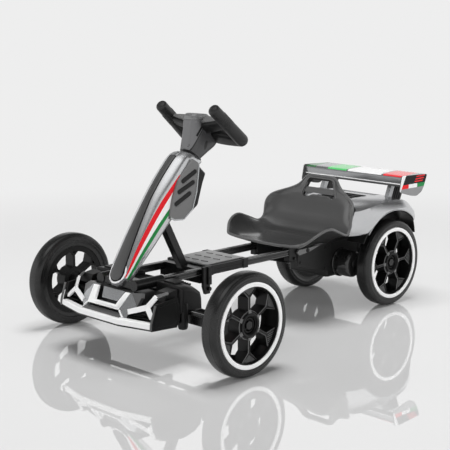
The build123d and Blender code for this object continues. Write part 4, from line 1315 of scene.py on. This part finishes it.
rim = Moulding(from_rear)
left_edge, right_edge = [line[-1] for line in lines], [line[0] for line in lines]
loop = lines[0] + left_edge[1:-1] + lines[-1][::-1] + right_edge[-2:0:-1]
count = len(loop)
loop = [(loop[i - 1] + loop[i] * 2 + loop[(i + 1) % count]) / 4 for i in range(count)]
rings = []
for i, point in enumerate(loop):
    ahead = (loop[(i + 1) % count] - loop[i - 1]).normalized()
    side = ahead.cross(Vector((0.0, 0.55, 0.84))).normalized()
    other = ahead.cross(side)
    spokes = [side * cos(pi * k / 5) + other * sin(pi * k / 5) for k in range(10)]
    rings.append([point + spoke * rim_radius * mm for spoke in spokes])
rim.skin(rings, joined=True)
for pad_line in (
    [(-118, -284), (-111, -218), (-104, -186)],
    [(118, -284), (111, -218), (104, -186)],
    [(-112, -292), (-80, -299), (0, -304), (80, -299), (112, -292)],
):
    path = []
    for x, y in pad_line:
        path.append((x, y, 191.8 + max(0, -200 - y) * 0.012 + max(0, y + 206) * 0.2))
    rim.rod(path, 1.1, 8, paint=1)
rim.make("seat_rolled_rim", [rim_highlight_grey, plain_black], "seat_and_drive", "grey_satin", sharp=60)

handle = Moulding(on_back)
wider = [(x * 1.09, 12 + (w - 12) * 1.16) for x, w in handle_line]
widest = [(x * 1.15, 12 + (w - 12) * 1.27) for x, w in handle_line]
for inside, outside, low, high, paint in (
    (handle_line, wider, -4.0, 4.4, 1),
    (wider, widest, -2.0, 6.2, 2),
):
    section = [(low, outside), (high - 1, outside), (high, outside), (high, inside), (low, inside)]
    rings = [[(x, w, out) for x, w in line] for out, line in section]
    handle.rows(rings, joined=True, paint=paint)
hand_bar = rounded([(-52, 2), (54, 2), (50, 17), (-44, 17)], 3.0)
handle.prism("z", hand_bar, (-3.0, 3.6))
handle.make("seat_handle_frame", [seat_grey, plain_black, rim_highlight_grey], "seat_and_drive", "grey_satin",
            bevel=0.8, sharp=50)


# Battery box and drive: a black moulded box between the rails with ribbed sides, a motor with a
# bolted flange on each side, and the steel axle that the rear wheels turn on.
box = Moulding(from_rear)
case_line = rounded([(-66, -160), (66, -160), (66, 35), (-66, 35)], 8.0)
case_middle = -62.5
case_levels = (
    (85, 0.95), (88, 0.985), (94, 1.0), (176, 1.0), (176.5, 1.012), (182, 1.012), (182.5, 0.99),
    (212, 0.985), (215, 0.96),
)
rings = []
for z, wide in case_levels:
    rings.append([(x * wide, case_middle + (y - case_middle) * wide, z) for x, y in case_line])
box.rows(rings)
for side in (-1, 1):
    for k in range(9):
        y = -148 + k * 15
        rib = [(y, 184), (y + 6, 184), (y + 6, 212), (y, 212)]
        box.prism("x", rib, (side * 63.0, side * 67.2))
    rib = [(side * 64.5, 92), (side * 67.4, 94), (side * 67.4, 172), (side * 64.5, 174)]
    for k in range(4):
        box.prism("y", rib, (-30 + k * 16, -26 + k * 16))
for k in range(7):
    low, high = -50 + k * 16, -46 + k * 16
    rib = [(low, 96), (high, 96), (high, 205), (low, 205)]
    box.prism("y", rib, (34.0, 38.0))
    rib = [(low, -150), (high, -150), (high, 25), (low, 25)]
    box.prism("z", rib, (83.5, 86.0))
box.make("battery_case", [plain_black], "seat_and_drive", "black_plastic", ["battery_box"],
         bevel=0.8)

gloss_black = moulded("motor_paint", grey(0.012), 0.20, grain=0.05, coat=0.4)
motor_profile = [
    (2, 66), (38, 66), (38, 70.5), (36.8, 71.8), (34.5, 72), (34.5, 74.5), (33.2, 75), (33.2, 77.5),
    (34.5, 78), (34.5, 108), (33.6, 111.5), (31.0, 114.2), (26.0, 115.8), (12, 116), (10, 115),
    (2, 115),
]
bolt_profile = [(2.4, 70), (2.4, 74.0), (1.6, 74.6), (0.3, 74.6)]
bolt_circle = 35.3
motors = Moulding()
for side in (-1, 1):
    middle = from_rear(0, -104, 119)
    motors.turned(motor_profile, middle, (side, 0, 0), 72)
    for k in range(4):
        turn = radians(45 + 90 * k)
        lug = middle + Vector((0, cos(turn), sin(turn))) * bolt_circle * mm
        motors.turned(bolt_profile, lug, (side, 0, 0), 12)
motors.make("drive_motor_cases", [gloss_black], "seat_and_drive", "black_plastic", ["drive_motors"],
            sharp=35)
keep_shape(frame_black, 0.4, "rear_axle")


# Tail body: a silver moulded shell over the rear wheels, creased along its flanks, with black
# liners in its arches and a dark well behind the seat; it is screwed down to the battery box.
tail_silver = moulded("tail_silver", grey(0.60, 0.01), 0.20, metallic=0.92, mottle=0.02)
# place behind the rear axle, height of the top, height and half width of the upper crease, height
# of the lower crease, share of the full width
tail_stations = [
    (-168, 273, 268.5, 163.0, 264.7, 0.905), (-150, 278, 271.0, 161.0, 263.0, 0.96),
    (-130, 280.5, 273.0, 159.5, 262.0, 0.992), (-99, 283, 275.4, 157.0, 261.2, 1.0),
    (-71, 284.4, 277.4, 153.5, 259.8, 1.0), (-38, 285, 278.8, 150.0, 258.2, 1.0),
    (-5, 285, 279.6, 147.5, 258.0, 1.0), (25, 284.8, 279.2, 146.5, 258.0, 1.0),
    (50, 282.5, 276.6, 146.0, 257.0, 1.0), (66, 279, 272.6, 147.0, 255.0, 0.99),
    (81, 274, 267.2, 146.5, 250.5, 0.975), (95, 266, 259.5, 146.0, 244.0, 0.95),
    (105, 256, 250.5, 145.5, 237.0, 0.925), (112, 245, 240.5, 145.0, 230.0, 0.895),
    (116, 233, 230.5, 144.5, 223.0, 0.87), (117, 226, 224.5, 144.0, 219.0, 0.855),
]
tail_pitch = 3
rings = []
for k in range(96):
    place = tail_stations[0][0] + tail_pitch * k
    top, upper, crease, lower, share = between(tail_stations, place)
    low = 207 + max(0, place - 84) * 0.2
    rise = top - upper
    half = [
        (0, top), (50, top), (crease - 68, top), (crease - 45, upper + rise * 0.95),
        (crease - 24, upper + rise * 0.78), (crease - 9, upper + rise * 0.40), (crease, upper),
        (crease + 1.3, upper - 1.2), (162.6, lower + 1.2), (163.3, lower - 0.4),
        (164.5, lower - (lower - low) * 0.2), (165.0, low + (lower - low) * 0.5),
        (164.2, low + (lower - low) * 0.25), (162.0, low + 3.0), (159.5, low),
    ]
    line = half + [(-x, z) for x, z in reversed(half[1:])]
    rings.append([(x * share, place, z) for x, z in line])
tail = Moulding(from_rear)
tail.rows(rings)
axle_height = axle_z / mm
arch_radius = 141.0
arches = Moulding()
for side in (-1, 1):
    middle = from_rear(0, 0, axle_height)
    arches.turned([(arch_radius, 104), (arch_radius, 172)], middle, (side, 0, 0), 160)
well = Moulding(from_rear)
well.box((-100, -150, 190), (100, 98, 252))
front_cut = Moulding(from_rear)
cut_line = [(-240, 190), (-172, 190), (-126, 262), (-112, 296), (-240, 296)]
cut_half = [(-160, 52), (-150, 26), (-126, 10), (-104, 0)]
rings = []
for x, ahead in cut_half + [(-x, ahead) for x, ahead in reversed(cut_half)]:
    rings.append([(x, y - ahead if y > -200 else y, z) for y, z in cut_line])
front_cut.rows(rings)
deck_cut = Moulding(from_rear)
deck_line = rounded([(-62, -100), (62, -100), (84, 30), (84, 62), (-84, 62), (-84, 30)], 10.0)
deck_levels = ((278, 0.94), (300, 1.04))
deck_cut.rows([[(x * wide, y, z) for x, y in deck_line] for z, wide in deck_levels])
tail_piece = tail.make("tail_shell", [tail_silver], "seat_and_drive", "grey_gloss", ["tail_body"])
cut(tail_piece, arches, well, front_cut, deck_cut)
tail_piece.data.set_sharp_from_angle(angle=radians(27))
across, along, up = tail_silver.place((0, rear_y, axle_z))
from_axle = (along * along + up * up).root()
inside = (from_axle < arch_radius + 0.25) * (across.size() > 103.5)
dark = inside.at_least((up < 138) * (across.size() < 101))
colour = tail_silver.clouds((0.585, 0.59, 0.60), (0.615, 0.62, 0.63))
tail_silver.paint(
    {
        "Base Color": tail_silver.over(dark, colour, (0.012, 0.012, 0.013)),
        "Metallic": 0.92 - dark * 0.92,
        "Roughness": 0.20 + dark * 0.2,
    }
)
details = Moulding(from_rear)
for k in range(5):
    y = -70 + k * 22
    rib = [(-48, y), (48, y), (48, y + 6), (-48, y + 6)]
    details.prism("z", rib, (277.0, 280.5))
wall = [(-114, 212), (32, 212), (32, 262), (-114, 262)]
sill = [(111.5, 215), (117.5, 216), (116.5, 222), (111.5, 221)]
for side in (-1, 1):
    details.prism("x", wall, (side * 42.0, side * 48.0))
    details.prism("x", sill, (side * 40.0, side * 100.0))
details.make("tail_deck_ribs", [plain_black], "seat_and_drive", "black_plastic", bevel=1.0)
liners, lips = Moulding(from_rear), Moulding(from_rear)
for side in (-1, 1):
    rings = []
    for k in range(49):
        turn = 31 + k * 2.5
        outer = arch_radius + 0.4 - max(0.0, 47 - turn) * 0.72
        edge = 158 - max(0.0, 62 - turn) * 0.28
        ring = []
        for x, radius in ((103, outer), (edge, outer), (edge, outer - 2.5), (103, outer - 2.5)):
            y, z = polar(radius, turn)
            ring.append((side * x, y, axle_height + z))
        rings.append(ring)
    liners.rows(rings)
    path = []
    for k in range(44):
        y, z = polar(arch_radius + 0.6, 55 + k * 2)
        share = between(tail_stations, y)[4]
        path.append((side * (163.6 * share), y, axle_height + z))
    lips.rod(path, [0.3, *[1.5] * 42, 0.3], 12)
liners.make("tail_arch_liners", [plain_black], "seat_and_drive", "black_plastic", sharp=40)
lips.make("tail_arch_lips", [silver], "seat_and_drive", "grey_gloss", sharp=60)


# Wing: a silver blade with three printed bands along its top, on two forked struts, between two
# printed end plates screwed to its ends.
wing_silver = moulded("wing_silver", grey(0.44, 0.02), 0.24, grain=0.01, metallic=0.7, coat=0.3,
                      mottle=0.02)
blade = Moulding(from_rear)
blade_corners = [
    (22, 319.5), (22, 338), (30, 343.5), (46, 344.2), (90, 343.0), (127, 341), (128, 336.5),
    (96, 336.5), (50, 333.5), (36, 328), (29, 319.5),
]
# The white strip along the blade's front edge: painted highlight on that ridge.
edge_highlight_line = [(20.6, 321.4), (21.0, 323.6), (24.0, 324.2), (24.0, 321.2)]
skirt_line = [(24, 315.4), (22.4, 320.8), (34, 320.8), (34, 315.6)]
blade.prism("x", rounded(blade_corners, 2.0, 3), (-168.5, 168.5))
blade.prism("x", edge_highlight_line, (-166, 166), paint=1)
blade.prism("x", skirt_line, (-166, 166), paint=2)
across, along, up = wing_silver.place((0, rear_y, 0))
spot = across + along * 0.25
top_side = up > 340.5
colour = wing_silver.clouds((0.36, 0.365, 0.372), (0.38, 0.385, 0.392))
band_mask = 0
for band, tone in (
    (spot.within(-84, -18), (0.10, 0.62, 0.17)),
    (spot.within(-12, 102), (0.93, 0.93, 0.93)),
    (spot.within(108, 176), (0.85, 0.03, 0.04)),
    # Dark green at the far end of the top, beyond the green band: painted shade, not a printed
    # band.
    (spot < -128, (0.03, 0.16, 0.05)),
):
    mask = band * top_side
    colour = wing_silver.over(mask, colour, tone)
    band_mask = mask.at_least(band_mask)
wing_silver.paint({"Base Color": colour, "Metallic": 0.7 - band_mask * 0.7})
blade.make("wing_blade_shell", [wing_silver, white_gloss, dark_satin], "seat_and_drive",
           "grey_gloss", ["wing_blade"], bevel=0.5)

# height of each level, and how far back the strut leans there
fork_levels = ((262, -4), (276, 0), (308, 14), (322, 20))
rib_levels = ((276, 0), (308, 14), (318, 18))
struts = Moulding(from_rear)
for x0, x1, y0, y1, levels, paint in (
    (107.0, 119.0, 24, 44, fork_levels, 1),
    (105.0, 121.0, 43, 82, fork_levels, 0),
    *((120.5, 122.6, y, y + 3, rib_levels, 0) for y in (50, 60, 70)),
):
    line = [(x0, y0), (x1, y0), (x1, y1), (x0, y1)]
    struts.rows([[(x, y + lean, z) for x, y in line] for z, lean in levels], paint=paint)
struts.mirrored()
struts.make("wing_strut_forks", [plain_black, silver], "seat_and_drive", "black_plastic",
            ["wing_struts"], bevel=0.8)

plate_print = moulded("end_plate_print", grey(0.36), 0.26, grain=0.01, mottle=0.02, gleam=0.15)
ends = Moulding(from_rear)
end_corners = [(17, 346), (129, 341), (115, 309), (105, 295), (83, 286), (60, 289), (8, 303)]
ends.prism("x", rounded(end_corners, 6.0), (168.0, 171.8))
ends.mirrored()
across, along, up = plate_print.place((0, rear_y, 0))
outer_face = across.size() > 170.6
on_print = (along > 16.5 + (up - 314.7) * 0.57) * outer_face
black_area = on_print * (up > 320.8)
band_area = on_print * up.within(310.2, 320.8)
slant = up - 338.8 - (along - 79) * 0.02
slashes = 0
for drop, first, last in ((0.0, 80, 117), (6.6, 77.5, 115), (13.0, 75.5, 112)):
    ends_lean = slant * 0.3
    slash = ((slant + drop).size() < 1.7) * along.within(ends_lean + first, ends_lean + last)
    slashes = slash.at_least(slashes)
colour = plate_print.lay_over(
    plate_print.over(outer_face, grey(0.10), grey(0.93)),
    (on_print, (0.30, 0.30, 0.305)),
    (black_area, (0.010, 0.010, 0.011)),
    (black_area * slashes, (0.80, 0.02, 0.025)),
    (band_area * (along < 46), (0.84, 0.012, 0.016)),
    (band_area * along.within(46, 84), (0.92, 0.92, 0.92)),
    (band_area * (along > 84), (0.02, 0.26, 0.07)),
)
plate_print.paint({"Base Color": colour})
ends.make("wing_end_plate_prints", [plate_print], "seat_and_drive", "grey_gloss",
          ["wing_end_plates"], bevel=0.7)
